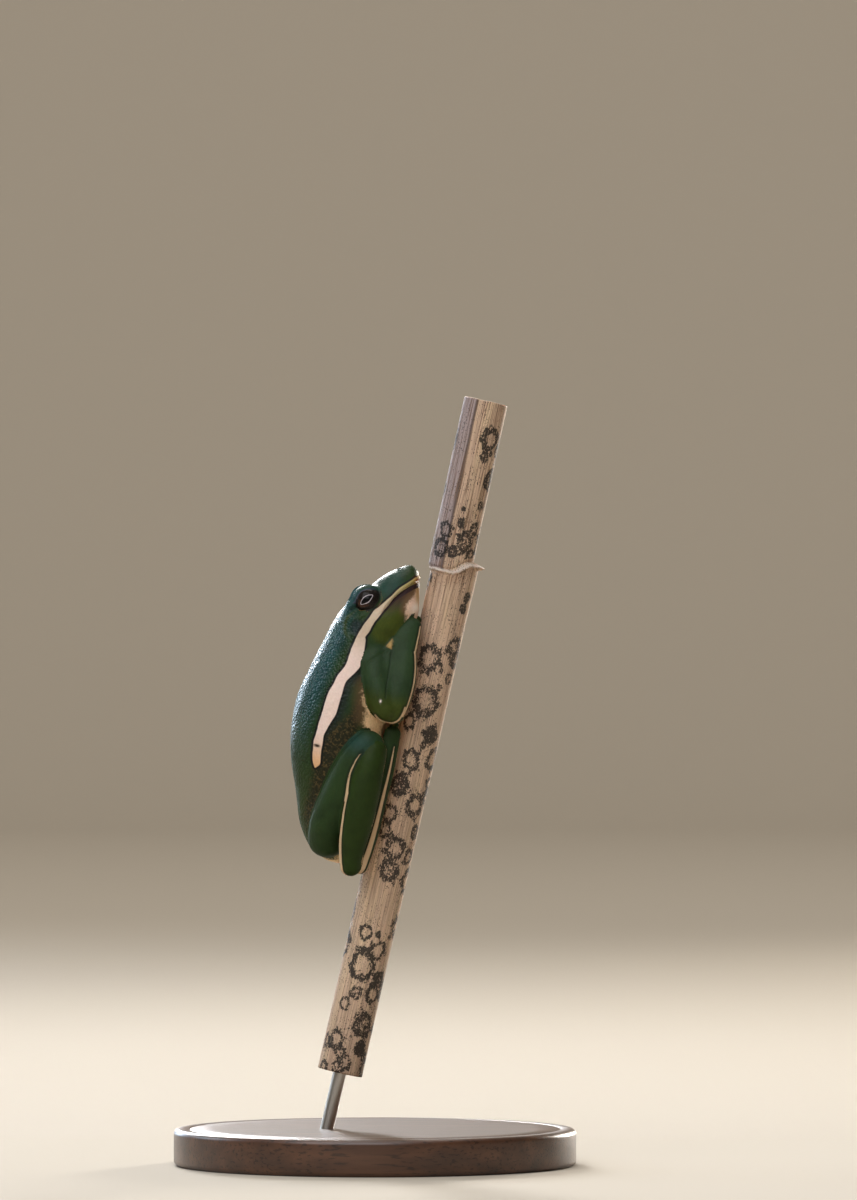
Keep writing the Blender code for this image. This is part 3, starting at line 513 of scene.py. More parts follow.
def spline(rows, count):
    """Values at even steps along a Catmull-Rom curve through the rows."""
    rows = np.asarray(rows, float)
    padded = np.vstack([2 * rows[0] - rows[1], rows, 2 * rows[-1] - rows[-2]])
    at = np.linspace(0, len(rows) - 1, count)
    start = np.minimum(at.astype(int), len(rows) - 2)
    t = (at - start)[:, None]
    before, a, b, after = (padded[start + k] for k in range(4))
    return a + 0.5 * t * (b - before + t * (2 * before - 5 * a + 4 * b - after
                                            + t * (3 * (a - b) + after - before)))


def body_rings(rows, count, sides):
    """Sections of the body. Each runs from its back line to its belly line as cos(a) to a power, and
    sideways as sin(a) to that power, wider below by its fullness."""
    at = spline(rows, count)
    back = np.column_stack([at[:, 0:2], np.zeros(count)])
    belly = np.column_stack([at[:, 2:4], np.zeros(count)])
    turn = full_turn(sides)
    cosine, sine = np.cos(turn), np.sin(turn)
    power = 1 - at[:, 6:7]
    up = np.sign(cosine) * np.abs(cosine) ** power
    side = np.sign(sine) * np.abs(sine) ** power * (1 - at[:, 5:6] * cosine) * at[:, 4:5]
    middle, half = (back + belly) / 2, (back - belly) / 2
    return middle[:, None] + half[:, None] * up[..., None] + np.array([0, 0, 1.0]) * side[..., None]


def limb(rows, count, side, round_start=True, faces_reed=False):
    """A limb's sections as a dictionary of arrays: centres, directions across, and half sizes. A quarter
    circle of rings closes each round end."""
    at = spline([(u, v, w * side, *sizes) for u, v, w, *sizes in rows], count)
    centre, sizes = at[:, :3], at[:, 3:5]
    along = unit(np.gradient(centre, axis=0))
    quarter = np.radians(np.linspace(0, 86, 9)[1:])[:, None]
    for k, sign, wanted in ((0, -1, round_start), (-1, 1, True)):
        if wanted:
            cap = centre[k] + sign * along[k] * sizes[k].mean() * np.sin(quarter)
            cap_sizes = sizes[k] * np.cos(quarter)
            cap_along = np.tile(along[k], (len(quarter), 1))
            parts = [(cap, centre), (cap_sizes, sizes), (cap_along, along)]
            if k == 0:
                centre, sizes, along = (np.vstack([new[::-1], old]) for new, old in parts)
            else:
                centre, sizes, along = (np.vstack([old, new]) for new, old in parts)
    if faces_reed:
        towards = unit(centre * np.array([0, 1.0, 1.0]))
    else:
        towards = np.tile([0, 1.0, 0], (len(centre), 1))
    first = unit(towards - (towards * along).sum(1, keepdims=True) * along)
    second = np.cross(along, first)
    return {"centre": centre, "along": along, "first": first, "second": second, "sizes": sizes}


def limb_surface(tube, sides):
    """Rings of an oval tube: centre + first size * first * cos(a) + second size * second * sin(a)."""
    turn = full_turn(sides)[None, :, None]
    first = (tube["first"] * tube["sizes"][:, :1])[:, None]
    second = (tube["second"] * tube["sizes"][:, 1:])[:, None]
    return tube["centre"][:, None] + first * np.cos(turn) + second * np.sin(turn)


def reed_radius(u):
    return REED_RADIUS + JOINT_SWELL * hill(JOINT_U - u, SWELL_LENGTH)


def digit_rows(root, pad_u, pad_angle, half_thick):
    """Rows of one right digit, from its root over a knuckle and down to a flat round pad on the reed."""
    angle = math.radians(pad_angle)
    lift = reed_radius(pad_u) + PAD_LIFT
    pad_lift = lift + PAD_HALF_THICKNESS
    tip = np.array([pad_u, pad_lift * math.cos(angle), pad_lift * math.sin(angle)])
    root = np.array(root)
    turn = (angle + math.atan2(root[2], root[1])) / 2
    knuckle_lift = max(lift + half_thick * 1.7, (pad_lift + math.hypot(root[1], root[2])) / 2)
    knuckle = np.array([root[0] * 0.45 + pad_u * 0.55, knuckle_lift * math.cos(turn),
                        knuckle_lift * math.sin(turn)])
    along = unit(tip - knuckle)
    behind = tip - along * PAD_HALF_LENGTH * 1.25
    heel = tip - along * PAD_HALF_LENGTH * 0.7
    front = tip + along * PAD_HALF_LENGTH * 0.45
    return [(*root, half_thick * 1.1, half_thick * 1.15), (*knuckle, half_thick, half_thick * 1.05),
            (*behind, half_thick * 0.78, half_thick * 0.85),
            (*heel, PAD_HALF_THICKNESS, PAD_HALF_WIDTH * 0.72), (*tip, PAD_HALF_THICKNESS, PAD_HALF_WIDTH),
            (*front, PAD_HALF_THICKNESS * 0.85, PAD_HALF_WIDTH * 0.8)]


limbs = {}
for side in (1, -1):
    for name, rows in (("upper_arm", UPPER_ARM), ("forearm", FOREARM), ("palm", PALM), ("thigh", THIGH),
                       ("shank", SHANK), ("ankle", ANKLE), ("arm_fill", ARM_FILL)):
        limbs[name, side] = limb(rows, LIMB_ROWS, side)
    for name, table in (("finger", FINGERS), ("toe", TOES)):
        for k, digit in enumerate(table):
            limbs[f"{name}_{k + 1}", side] = limb(digit_rows(*digit), DIGIT_ROWS, side,
                                                  round_start=False, faces_reed=True)

# The brows bulge over each eye and run back into the nape: centre, radius, and reach sideways.
BROWS = [((43.3, 12.9, 4.45), 2.85, 2.75), ((41.6, 13.0, 4.1), 3.2, 2.9), ((39.6, 13.2, 3.8), 3.4, 3.1)]


def eye_ball(centre, radius, reach, rings=40, sides=64):
    """An egg about a centre, with its poles towards the frog's sides: radius * cos(latitude) across, and
    reach * sin(latitude) sideways."""
    latitude = np.radians(np.linspace(-89, 89, rings))[:, None, None]
    turn = full_turn(sides)[None, :, None]
    return (centre + radius * np.cos(latitude) * (np.array([1.0, 0, 0]) * np.cos(turn)
                                                  + np.array([0, 1.0, 0]) * np.sin(turn))
            + reach * np.sin(latitude) * np.array([0, 0, 1.0]))


tubes = [body_rings(TORSO + HEAD, BODY_ROWS, BODY_SIDES)]
tubes += [limb_surface(tube, LIMB_SIDES) for tube in limbs.values()]
tubes += [eye_ball(np.array(centre) * (1, 1, side), radius, reach)
          for centre, radius, reach in BROWS for side in (1, -1)]
skin_parts = [rings_piece("skin_part", to_world(tube)) for tube in tubes]


def welded(parts, name, step):
    """Joins closed shapes into one surface: they are cut into cubes of one step, and a new mesh is laid
    over the outside of all of them."""
    points = [np.empty(len(part.data.vertices) * 3, dtype=np.float32) for part in parts]
    faces, start = [], 0
    for part, flat in zip(parts, points):
        part.data.vertices.foreach_get("co", flat)
        faces += [[start + k for k in face.vertices] for face in part.data.polygons]
        start += len(part.data.vertices)
        bpy.data.objects.remove(part)
    together = mesh_piece(name, np.concatenate(points).reshape(-1, 3) / MM, faces)
    weld = together.modifiers.new("weld", "REMESH")
    weld.mode = "VOXEL"
    weld.voxel_size = step * MM
    apply_modifiers(together)
    return together


def apply_modifiers(piece):
    """Gives the object the mesh that its modifiers make, and takes the modifiers off."""
    graph = bpy.context.evaluated_depsgraph_get()
    made = bpy.data.meshes.new_from_object(piece.evaluated_get(graph))
    piece.modifiers.clear()
    piece.data = made
    made.shade_smooth()


skin = welded(skin_parts, "frog_skin", WELD_STEP)


def read_points(piece, kind="co"):
    """The points of a mesh, or their normals, in the leaning frame."""
    flat = np.empty(len(piece.data.vertices) * 3, dtype=np.float32)
    piece.data.vertices.foreach_get(kind, flat)
    flat = flat.reshape(-1, 3).astype(float)
    return (flat / MM - HEELS) @ AXES.T if kind == "co" else flat @ AXES.T


def write_points(piece, points):
    piece.data.vertices.foreach_set("co", (to_world(points) * MM).astype(np.float32).ravel())
    piece.data.update()


def eased(points, edges, weight, rounds):
    """Moves each point towards the mean of its neighbours, by its weight, a number of times."""
    near, far = edges.T
    links = np.bincount(near, minlength=len(points)) + np.bincount(far, minlength=len(points))
    for _ in range(rounds):
        total = np.stack([np.bincount(near, points[far, k], len(points))
                          + np.bincount(far, points[near, k], len(points)) for k in range(3)], axis=1)
        points = points + weight[:, None] * (total / links[:, None] - points)
    return points


def line_distance(points, line):
    """Distance from points to a line of many corners, which side they are on, and how far along it."""
    line = np.asarray(line, float)
    steps = np.diff(line, axis=0)
    lengths = np.linalg.norm(steps, axis=1)
    best = np.full(len(points), np.inf)
    signed, along = np.zeros(len(points)), np.zeros(len(points))
    for start, step, length, run in zip(line[:-1], steps, lengths, np.cumsum(lengths) - lengths):
        offset = points - start
        share = np.clip(offset @ step / length ** 2, 0, 1)
        distance = np.linalg.norm(offset - share[:, None] * step, axis=1)
        nearer = distance < best
        best = np.where(nearer, distance, best)
        along = np.where(nearer, run + share * length, along)
        if line.shape[1] == 2:
            turned_left = np.sign(step[0] * offset[:, 1] - step[1] * offset[:, 0])
            signed = np.where(nearer, distance * turned_left, signed)
    return (signed if line.shape[1] == 2 else best), along


edges = np.empty(len(skin.data.edges) * 2, dtype=np.int32)
skin.data.edges.foreach_get("vertices", edges)
edges = edges.reshape(-1, 2)
points = read_points(skin)
points = eased(points, edges, np.full(len(points), SOFTENING), SOFTENING_ROUNDS)
# Where skin runs smoothly from one part to the next: a place on the right side, and the easing's reach.
EASED = [((34.6, 10.6, 7.0), 3.0), ((36.4, 8.6, 7.4), 2.2), ((4.4, 11.6, 5.4), 3.6),
         ((8.5, 12.6, 7.0), 2.6), ((43.0, 10.6, 6.6), 1.6), ((45.9, 12.6, 4.1), 1.8),
         ((40.8, 15.4, 5.0), 2.6), ((38.0, 15.8, 5.6), 2.6), ((27.5, 6.4, 9.4), 2.2),
         ((30.8, 6.5, 9.2), 2.2), ((34.0, 6.8, 8.3), 2.4), ((37.6, 6.6, 7.2), 2.0)]
folded = np.column_stack([points[:, :2], np.abs(points[:, 2])])
blend_weight = np.zeros(len(points))
for place, reach in EASED:
    blend_weight = np.maximum(blend_weight, hill(np.linalg.norm(folded - place, axis=1), reach))
points = eased(points, edges, blend_weight * BLENDING, BLENDING_ROUNDS)
write_points(skin, points)

# The eyes, and the way they look. The opening between the lids and the pupil are longer along the head
# than across it: half sizes, and how pointed they are.
EYE_CENTRE = np.array([43.4, 12.75, 4.6])
EYE_RADIUS = 2.25
LOOK = np.array([0.067, 0.116, 0.99])
EYE_FORWARD = np.array([0.76, -0.65, 0.0])
OPENING, OPENING_POWER = (2.12, 1.55), 1.8
PUPIL, PUPIL_POWER = (1.1, 0.44), 1.6
LID_THICKNESS = 0.34
FAR = 9.0                    # a reach outside all that is drawn on the skin and the eyes


def almond(long, high, half_sizes, power):
    """How far out a place lies in a shape pointed at both ends, where 1 is its edge."""
    return (np.abs(long / half_sizes[0]) ** power + np.abs(high / half_sizes[1]) ** power) ** (1 / power)


def eye_axes(side):
    """The way an eye looks, the way along its opening, and the way across the opening."""
    look = unit(LOOK * (1, 1, side))
    forward = unit(EYE_FORWARD - (EYE_FORWARD @ look) * look)
    upward = np.cross(look, forward)
    return look, forward, upward * np.sign(upward[1])


def lid_place(points, side):
    """How far each point lies from the middle of the opening, where 1 is the lids' edge; how far it is
    from the eye's centre; and how high it is above the opening's long axis."""
    look, forward, upward = eye_axes(side)
    offset = points - EYE_CENTRE * (1, 1, side)
    reach = np.linalg.norm(offset, axis=1)
    scaled = offset * (EYE_RADIUS / np.maximum(reach, 0.01))[:, None]
    long, high, out = scaled @ forward, scaled @ upward, scaled @ look
    place = almond(long, high, OPENING, OPENING_POWER)
    return np.where((out > 0) & (reach < 4.4), place, FAR), reach, high


def with_lids(points):
    """Draws the lids in over the eyes: inside the opening the skin dips under the eyeball, at its edge it
    leaves the ball as a rounded lip, past that runs a shallow furrow, and then it keeps its own place."""
    for side in (1, -1):
        place, reach, _ = lid_place(points, side)
        lip = LID_THICKNESS * (1 - np.exp(-np.maximum(place - 1, 0) * 6))
        dip = np.maximum((place - 1) * 2.4, -0.8)
        wanted = EYE_RADIUS + np.where(place < 1, dip, lip) - 0.07 * hill(place - 1.5, 0.1)
        share = np.maximum(smooth_step(place, 1.25, 1.8), smooth_step(reach, 2.9, 3.5) * (place > 1))
        radius = np.where(place < 2.4, wanted * (1 - share) + reach * share, reach)
        centre = EYE_CENTRE * (1, 1, side)
        points = centre + (points - centre) * (radius / np.maximum(reach, 0.01))[:, None]
    return points


def oval(plane, middle, half_size):
    """How far out points lie in an oval of the plane of u and v, where 1 is its edge."""
    return np.linalg.norm((plane - middle) / half_size, axis=1)


def near_place(points, place, reach):
    """A soft spot about a place on the middle of the skin."""
    return hill(np.linalg.norm(points - place, axis=1), reach)


# The mouth runs back from the front of the jaw and ends under the eye. Over it the lip is a soft ridge.
MOUTH = spline([(40.9, 10.5), (42.2, 9.95), (44.2, 8.95), (45.7, 7.95), (47.3, 6.6), (48.4, 5.4),
                (49.2, 4.3)], 40)
NOSTRIL = np.array([49.3, 8.75, 1.55])
EAR = np.array([38.8, 13.6])
EAR_HALF_SIZE = np.array([1.55, 1.15])
EAR_FOLD = spline([(41.6, 13.6), (40.8, 14.9), (39.4, 15.5), (37.6, 15.2), (36.4, 14.0)], 24)
SHOULDER_FOLD = spline([(34.1, 16.2), (32.6, 18.2), (30.9, 19.3), (29.4, 19.9)], 16)
ARM_CREASE = spline([(36.6, 7.2), (34.0, 6.9), (31.0, 6.7), (28.6, 6.4)], 20)
JOWL_FOLD = spline([(37.0, 7.0), (35.9, 8.2), (34.6, 9.6), (33.2, 10.9), (31.4, 11.3)], 20)
VENT = np.array([0.75, 9.2, 0.0])
SNOUT_TIP = np.array([49.9, 6.7, 0.0])
points = read_points(skin)
normals = read_points(skin, "normal")
plane, side_way = points[:, :2], np.abs(points[:, 2])
mouth_off, mouth_along = line_distance(plane, MOUTH)
in_mouth = smooth_step(mouth_along, 0.3, 2.2) * smooth_step(points[:, 0], 38.8, 40.2)
lift = in_mouth * (0.16 * hill(mouth_off - 0.42, 0.26) - 0.34 * hill(mouth_off + 0.06, 0.18)
                   - 0.1 * hill(mouth_off + 0.55, 0.35))
right_half = np.column_stack([plane, side_way])
nostril = points[np.argmin(np.linalg.norm(points - NOSTRIL, axis=1))]
nostril_off = np.linalg.norm(right_half - nostril, axis=1)
lift += 0.08 * hill(nostril_off - 0.42, 0.2) - 0.36 * hill(nostril_off, 0.2)
on_side = (side_way > 4.5) & (points[:, 0] > 33)
ear_off = oval(plane, EAR, EAR_HALF_SIZE)
lift += on_side * (0.06 * hill(ear_off - 1.0, 0.14) - 0.07 * (1 - smooth_step(ear_off, 0.7, 0.95)))
fold_off, fold_along = line_distance(plane, EAR_FOLD)
lift += (on_side * 0.16 * hill(fold_off, 0.3) * smooth_step(fold_along, 0.0, 1.5)
         * fading(fold_along, 4.5, 7.0))
lift -= 0.06 * hill(line_distance(plane, SHOULDER_FOLD)[0], 0.2) * smooth_step(points[:, 1], 16.0, 17.5)
lift -= 0.1 * hill(line_distance(plane, ARM_CREASE)[0], 0.13) * (side_way > 7.2)
lift -= 0.16 * hill(line_distance(plane, JOWL_FOLD)[0], 0.22) * (side_way > 5.0)
lift -= 0.3 * near_place(points, VENT, 0.35)
lift += 0.28 * near_place(points, SNOUT_TIP, 1.3)
lift += 0.05 * waves(*points.T, seed=21, octaves=2, size=1.6)
dorsal = smooth_step(points[:, 1] - 0.12 * np.abs(points[:, 0] - 24), 10.5, 14.5)
lift += 0.022 * dorsal * waves(*points.T, seed=22, octaves=1, size=0.13)
points = with_lids(points + normals * lift[:, None])
write_points(skin, points)

thinner = skin.modifiers.new("thinner", "DECIMATE")
thinner.ratio = min(1.0, SKIN_TRIANGLES / (2 * len(skin.data.polygons)))
apply_modifiers(skin)
points = read_points(skin)
plane, side_way = points[:, :2], np.abs(points[:, 2])
u_place, v_place = plane.T
right_half = np.column_stack([plane, side_way])


def limb_fit(points, tube):
    """How far out each point lies in a limb's tube, where 1 is its surface, and how far it faces the reed
    and the body, from 1, the way in, to -1, the way out."""
    size = tube["sizes"].mean(1)
    fit, facing = np.full(len(points), FAR), np.zeros(len(points))
    for k in range(0, len(size), 2):
        offset = points - tube["centre"][k]
        first = offset @ tube["first"][k] / max(tube["sizes"][k, 0], 0.2)
        second = offset @ tube["second"][k] / max(tube["sizes"][k, 1], 0.2)
        along = offset @ tube["along"][k] / max(size[k], 0.3)
        out = np.sqrt(first ** 2 + second ** 2 + along ** 2)
        way_in = (-0.6 * offset[:, 1] - 0.8 * offset[:, 2]) / np.maximum(np.linalg.norm(offset, axis=1), 0.01)
        facing = np.where(out < fit, way_in, facing)
        fit = np.minimum(fit, out)
    return fit, facing


# Each point of the skin belongs to the right limb that fits it best, or else to the body.
TAKEN_IN = 1.13
belongs = np.full(len(points), "body", dtype=object)
best_fit = np.full(len(points), TAKEN_IN)
inward = np.zeros(len(points))
for (name, side), tube in limbs.items():
    if side < 0:
        continue
    low, high = tube["centre"].min(0) - 4, tube["centre"].max(0) + 4
    near = np.flatnonzero(((right_half > low) & (right_half < high)).all(1))
    fit, facing = limb_fit(right_half[near], tube)
    better = fit < best_fit[near]
    best_fit[near[better]] = fit[better]
    inward[near[better]] = facing[better]
    belongs[near[better]] = name
is_body = belongs == "body"

# The flank stripe runs from the upper lip, under the eye and the eardrum, and along the flank. These are
# its upper and its lower edge.
STRIPE_UPPER = [
    (48.87, 5.93), (47.9, 6.83), (47.05, 7.7), (46.17, 8.44), (45.07, 9.13), (44.08, 9.85), (42.81, 10.74),
    (42.21, 11.31), (41.29, 11.69), (40.65, 11.9), (39.72, 12.4), (38.55, 12.84), (37.41, 13.17),
    (36.3, 13.38), (35.19, 13.6), (34.1, 13.71), (32.65, 13.85), (31.58, 14.2), (30.41, 14.79),
    (28.96, 15.15), (27.47, 15.67), (25.89, 15.82), (23.98, 15.9), (22.05, 16.06), (20.15, 16.14),
    (19.09, 16.24), (17.93, 16.06), (16.94, 15.95), (15.74, 15.6), (14.94, 15.09)]
STRIPE_LOWER = [
    (48.0, 5.61), (47.33, 6.47), (46.4, 7.43), (45.38, 8.26), (44.56, 8.78), (43.51, 9.25), (42.29, 9.92),
    (41.1, 10.47), (40.3, 10.88), (39.41, 11.15), (38.52, 11.41), (37.54, 11.84), (37.16, 11.69),
    (36.01, 11.55), (34.85, 11.46), (33.23, 11.49), (32.14, 11.76), (30.73, 12.64), (29.73, 13.27),
    (28.84, 13.41), (27.46, 13.43), (25.72, 13.55), (24.14, 13.7), (22.65, 14.22), (21.36, 14.61),
    (20.29, 14.85), (19.21, 14.73), (17.96, 14.68), (16.7, 14.55), (15.64, 14.43), (14.94, 15.0)]
STRIPE_END = 14.8            # the stripe's last u
FAR_OUT = -3.0               # a mark's depth, far outside it
inside_upper = line_distance(plane, spline(STRIPE_UPPER, 120))[0]
under_lower, lower_along = line_distance(plane, spline(STRIPE_LOWER, 120))
stripe = np.minimum(np.minimum(inside_upper, -under_lower), (u_place - STRIPE_END) * 1.2)
stripe = np.where(is_body, stripe, FAR_OUT)

# Painted shade runs along the mouth under the stripe, a dark band over its groove. It is broad at the front
# and ends under the eye.
seam_width = 0.12 + 0.62 * smooth_step(-lower_along, -8.5, -1.5)
seam = seam_width - np.abs(under_lower - 0.05 - seam_width / 2) * 2
seam = np.where(is_body & (u_place > 38), seam, FAR_OUT)

# Throat, chest, belly and vent are pale on the reed's side of this line, and so are the limbs' inner faces.
# By the knee the line is softer.
PALE_EDGE = [(49.6, 4.7), (48.3, 5.0), (47.3, 5.3), (45.8, 5.8), (44.4, 6.4), (43.2, 6.5), (41.6, 6.2),
             (39.0, 5.9), (36.0, 6.4), (33.5, 8.4), (31.6, 9.8), (29.6, 10.3), (27.8, 10.1), (26.2, 9.6),
             (24.4, 9.3), (22.4, 9.0), (19.0, 9.8), (15.0, 11.2), (11.0, 12.4), (7.5, 12.6), (3.0, 11.4),
             (1.6, 11.6), (-1.0, 11.2)]
by_knee = smooth_step(u_place, 22.0, 24.5) * fading(u_place, 30.0, 33.0)
pale = line_distance(plane, spline(PALE_EDGE, 60))[0] / (1 + 0.8 * by_knee)
pale = np.where(is_body, pale, (inward - 0.5) * 2.4)

# A three-cornered amber patch lies on the throat. This is how far inside it each point is.
THROAT_PATCH = np.array([(38.3, 7.44), (36.8, 8.2), (36.55, 7.2)])
to_next = np.roll(THROAT_PATCH, -1, axis=0) - THROAT_PATCH
from_corner = plane[:, None] - THROAT_PATCH
throat_patch = ((to_next[:, 0] * from_corner[..., 1] - to_next[:, 1] * from_corner[..., 0])
                / np.linalg.norm(to_next, axis=1)).min(1)
throat_patch = np.where(side_way > 4, throat_patch, FAR_OUT)

# Brown and tan mottling lies between the stripe and the belly, and along the thigh: u, v, half width.
MOTTLING = np.array([(32.5, 10.2, 0.4), (28.0, 10.0, 0.5), (24.5, 10.5, 1.1), (21.0, 11.9, 2.0),
                     (17.5, 13.1, 2.1), (14.0, 13.8, 1.6), (10.5, 14.1, 1.2), (7.0, 14.3, 0.9),
                     (4.5, 13.6, 0.5)])
mottled_off, mottled_along = line_distance(plane, MOTTLING[:, :2])
mottled_reach = np.concatenate([[0], np.cumsum(np.linalg.norm(np.diff(MOTTLING[:, :2], axis=0), axis=1))])
mottled = np.interp(mottled_along, mottled_reach, MOTTLING[:, 2]) - np.abs(mottled_off)
mottled = smooth_step(mottled, -1.1, 1.1) * is_body


def limb_line(name, way, first_share, last_share):
    """A line along a right limb's surface, on the side of its sections that faces the way v, w."""
    tube = limbs[name, 1]
    way = np.array([0.0, *way])
    bend = np.arctan2(tube["second"] @ way, tube["first"] @ way)[:, None]
    surface = (tube["centre"] + tube["first"] * tube["sizes"][:, :1] * np.cos(bend)
               + tube["second"] * tube["sizes"][:, 1:] * np.sin(bend))
    return surface[int(first_share * len(surface)):int(last_share * len(surface))]


# Cream lines edge the shank, the foot and the forearm: the limb, the side of it, where the line starts
# and ends, and its half width there.
LIMB_LINES = [("shank", (0.87, 0.48), 0.41, 1.0, 0.18, 0.5), ("ankle", (-0.5, 0.87), 0.0, 0.82, 0.56, 0.08),
              ("forearm", (-0.88, 0.47), 0.12, 1.0, 0.2, 0.24), ("palm", (-0.88, 0.47), 0.0, 0.9, 0.24, 0.14)]
trim = np.full(len(points), FAR_OUT)
for name, way, first_share, last_share, first_width, last_width in LIMB_LINES:
    line = limb_line(name, way, first_share, last_share)
    on_limb = np.flatnonzero((belongs == name) & (np.abs(right_half - line.mean(0)).max(1) < 14))
    off, along = line_distance(right_half[on_limb], line)
    width = first_width + (last_width - first_width) * along / max(along.max(), 0.1)
    trim[on_limb] = np.maximum(trim[on_limb], width - off)

# Two more run round the elbow and over the knee: the limbs they lie on, their half width at the start and
# at full length, and their corners.
FULL_LENGTH = 7.5
JOINT_LINES = [
    (["upper_arm", "forearm", "arm_fill"], 0.13, 0.13,
     [(25.5, 7.45), (24.95, 6.6), (24.72, 5.6), (24.8, 4.5), (25.4, 3.6), (26.5, 3.1), (27.8, 2.9)]),
    (["shank", "thigh"], 0.05, 0.2,
     [(19.3, 8.1), (17.5, 8.85), (15.2, 9.25), (13.4, 9.2), (12.0, 9.05), (10.8, 9.0)])]
for names, first_width, last_width, corners in JOINT_LINES:
    off, along = line_distance(plane, spline(corners, 40))
    width = np.interp(along, [0, FULL_LENGTH], [first_width, last_width])
    lies_on = np.isin(belongs, names) & (side_way > 6)
    trim = np.where(lies_on, np.maximum(trim, width - np.abs(off)), trim)

# Olive skin lies on the jaw, the elbow, the shanks and the rump, blue green on the snout, the middle of the
# arm and the knee. Blue green on the back is a painted reflection of the sky, and a painted sheen lies on its
# granules, above a line along the back: places u, and its height v there.
SHINE_LINE = ([14.0, 24.0, 32.0, 36.0, 40.5, 44.0], [18.2, 17.6, 16.4, 15.4, 14.9, 14.5])
in_shine = v_place - np.interp(u_place, *SHINE_LINE)
on_arm = np.isin(belongs, ["upper_arm", "forearm", "palm", "arm_fill"])
by_elbow = fading(u_place, 27.0, 30.5)
jowl = fading(oval(plane, (40.6, 8.8), (1.0, 0.8)), 2.6, 4.4) * is_body
olive = np.maximum(jowl, fading(u_place, 6.0, 20.0) * is_body * 0.35)
olive = np.where(on_arm, 0.25 + by_elbow * 0.5, olive)
teal = smooth_step(in_shine, -1.9, 0.9) * smooth_step(u_place, 12.0, 29.0)
teal = np.maximum(teal, 0.55 * smooth_step(u_place, 43.0, 46.0) * smooth_step(v_place, 7.0, 9.0)) * is_body
teal = np.where(on_arm, 0.3 - 0.3 * by_elbow, teal)
knee = hill(oval(plane, (20.6, 9.2), (1.0, 1.6)), 1.8)
teal = np.where(np.isin(belongs, ["thigh", "shank", "ankle"]), 0.6 * knee, teal)

# Lids, eardrum, nostrils and vent.
lid, from_eye, lid_height = (np.where(points[:, 2] > 0, right, left)
                             for right, left in zip(lid_place(points, 1), lid_place(points, -1)))
lid = lid + 3 * smooth_step(from_eye, 2.75, 3.1)
on_ear = np.where((side_way > 4.5) & is_body, oval(plane, EAR, EAR_HALF_SIZE), FAR)
fold_off, fold_along = line_distance(plane, EAR_FOLD)
on_side = (side_way > 4.5) & (u_place > 33)
# A painted highlight along the ear's fold, in light olive.
ear_rim = hill(fold_off, 0.35) * smooth_step(fold_along, 0.3, 1.5) * fading(fold_along, 4.5, 7.0) * on_side
# The nostrils and the vent are painted dark, as shade in their pits.
pit = np.minimum(np.linalg.norm(right_half - nostril, axis=1) / 0.34,
                 np.linalg.norm(points - VENT, axis=1) / 0.4)

# Painted shade under the stripe, brown on the jaw, and painted shade in the creases at the elbow and behind
# the jowl.
flank_shade = hill(under_lower - 0.6, 0.9) * smooth_step(u_place, 16.0, 20.0) * fading(u_place, 32.0, 36.0)
jaw_brown = (1 - smooth_step(under_lower, 0.8, 2.6)) * smooth_step(under_lower, -0.3, 0.2)
jaw_brown = jaw_brown * smooth_step(u_place, 41.0, 45.0)
crease = np.maximum(hill(line_distance(plane, ARM_CREASE)[0], 0.17) * on_arm * (side_way > 6.5),
                    hill(line_distance(plane, JOWL_FOLD)[0], 0.17) * is_body * (side_way > 5))

# The sun shining through the chin's amber edge is painted on as a pale glow, and its glint on the elbow as a
# painted highlight. The lip and the stripe's end each have a dark spot.
CHIN_EDGE = [(44.4, 4.6), (46.0, 4.95), (47.4, 5.15), (48.6, 5.4)]
on_chin = is_body & (u_place > 42)
amber = np.maximum(hill(line_distance(plane, CHIN_EDGE)[0], 0.4) * on_chin,
                   smooth_step(throat_patch, -0.12, 0.12))
glow = hill(oval(plane, (43.9, 4.7), (1.0, 0.8)), 1.0) * on_chin
elbow_glint = hill(oval(plane, (27.9, 7.06), (0.2, 0.15)), 1.0)
glow = np.maximum(glow, 1.3 * elbow_glint * on_arm * (side_way > 6.5))
lip_spot = hill(oval(plane, (48.5, 5.55), 1.0), 0.5) * on_chin
fleck = 1.7 * hill(oval(plane, (18.5, 15.6), (0.2, 0.5)), 1.0) * is_body

# The granular skin of the back, where a painted sheen lies on its granules, and where it is wet.
granular = smooth_step(v_place, 11.0, 15.0) * is_body * (1 - 0.85 * smooth_step(u_place, 40.0, 43.0))
shiny = granular * smooth_step(in_shine, 0.0, 2.2) * smooth_step(u_place, 16.0, 24.0)
shiny = shiny * (0.4 + 0.6 * smooth_step(u_place, 29.0, 36.0))
head_top = smooth_step(-inside_upper, 0.4, 1.4) * smooth_step(u_place, 42.0, 44.0) * is_body
wet = np.maximum(granular * smooth_step(u_place, 15.0, 22.0), 0.5 * head_top)
soft_edge = np.maximum(smooth_step(u_place, 41.5, 43.5), 0.6 * by_knee) * is_body
set_attributes(skin, stripe=stripe, seam=seam, pale=pale, mottled=mottled, trim=trim, olive=olive, teal=teal,
               shank=(belongs == "shank") * 1.0, throat=smooth_step(u_place, 32.0, 37.0), lid=lid,
               lid_height=lid_height, ear=on_ear, ear_rim=ear_rim, pit=pit, flank_shade=flank_shade * is_body,
               soft_edge=soft_edge, jaw_brown=jaw_brown * is_body, snout=smooth_step(u_place, 41.5, 48.5),
               amber=amber, glow=glow, lip_spot=lip_spot, fleck=fleck, crease=crease,
               tail_end=1 - smooth_step(u_place, 15.0, 21.0), on_limb=~is_body * 1.0,
               nape=smooth_step(u_place, 33.0, 39.0), dorsal=granular, wet=wet, sheen=shiny)

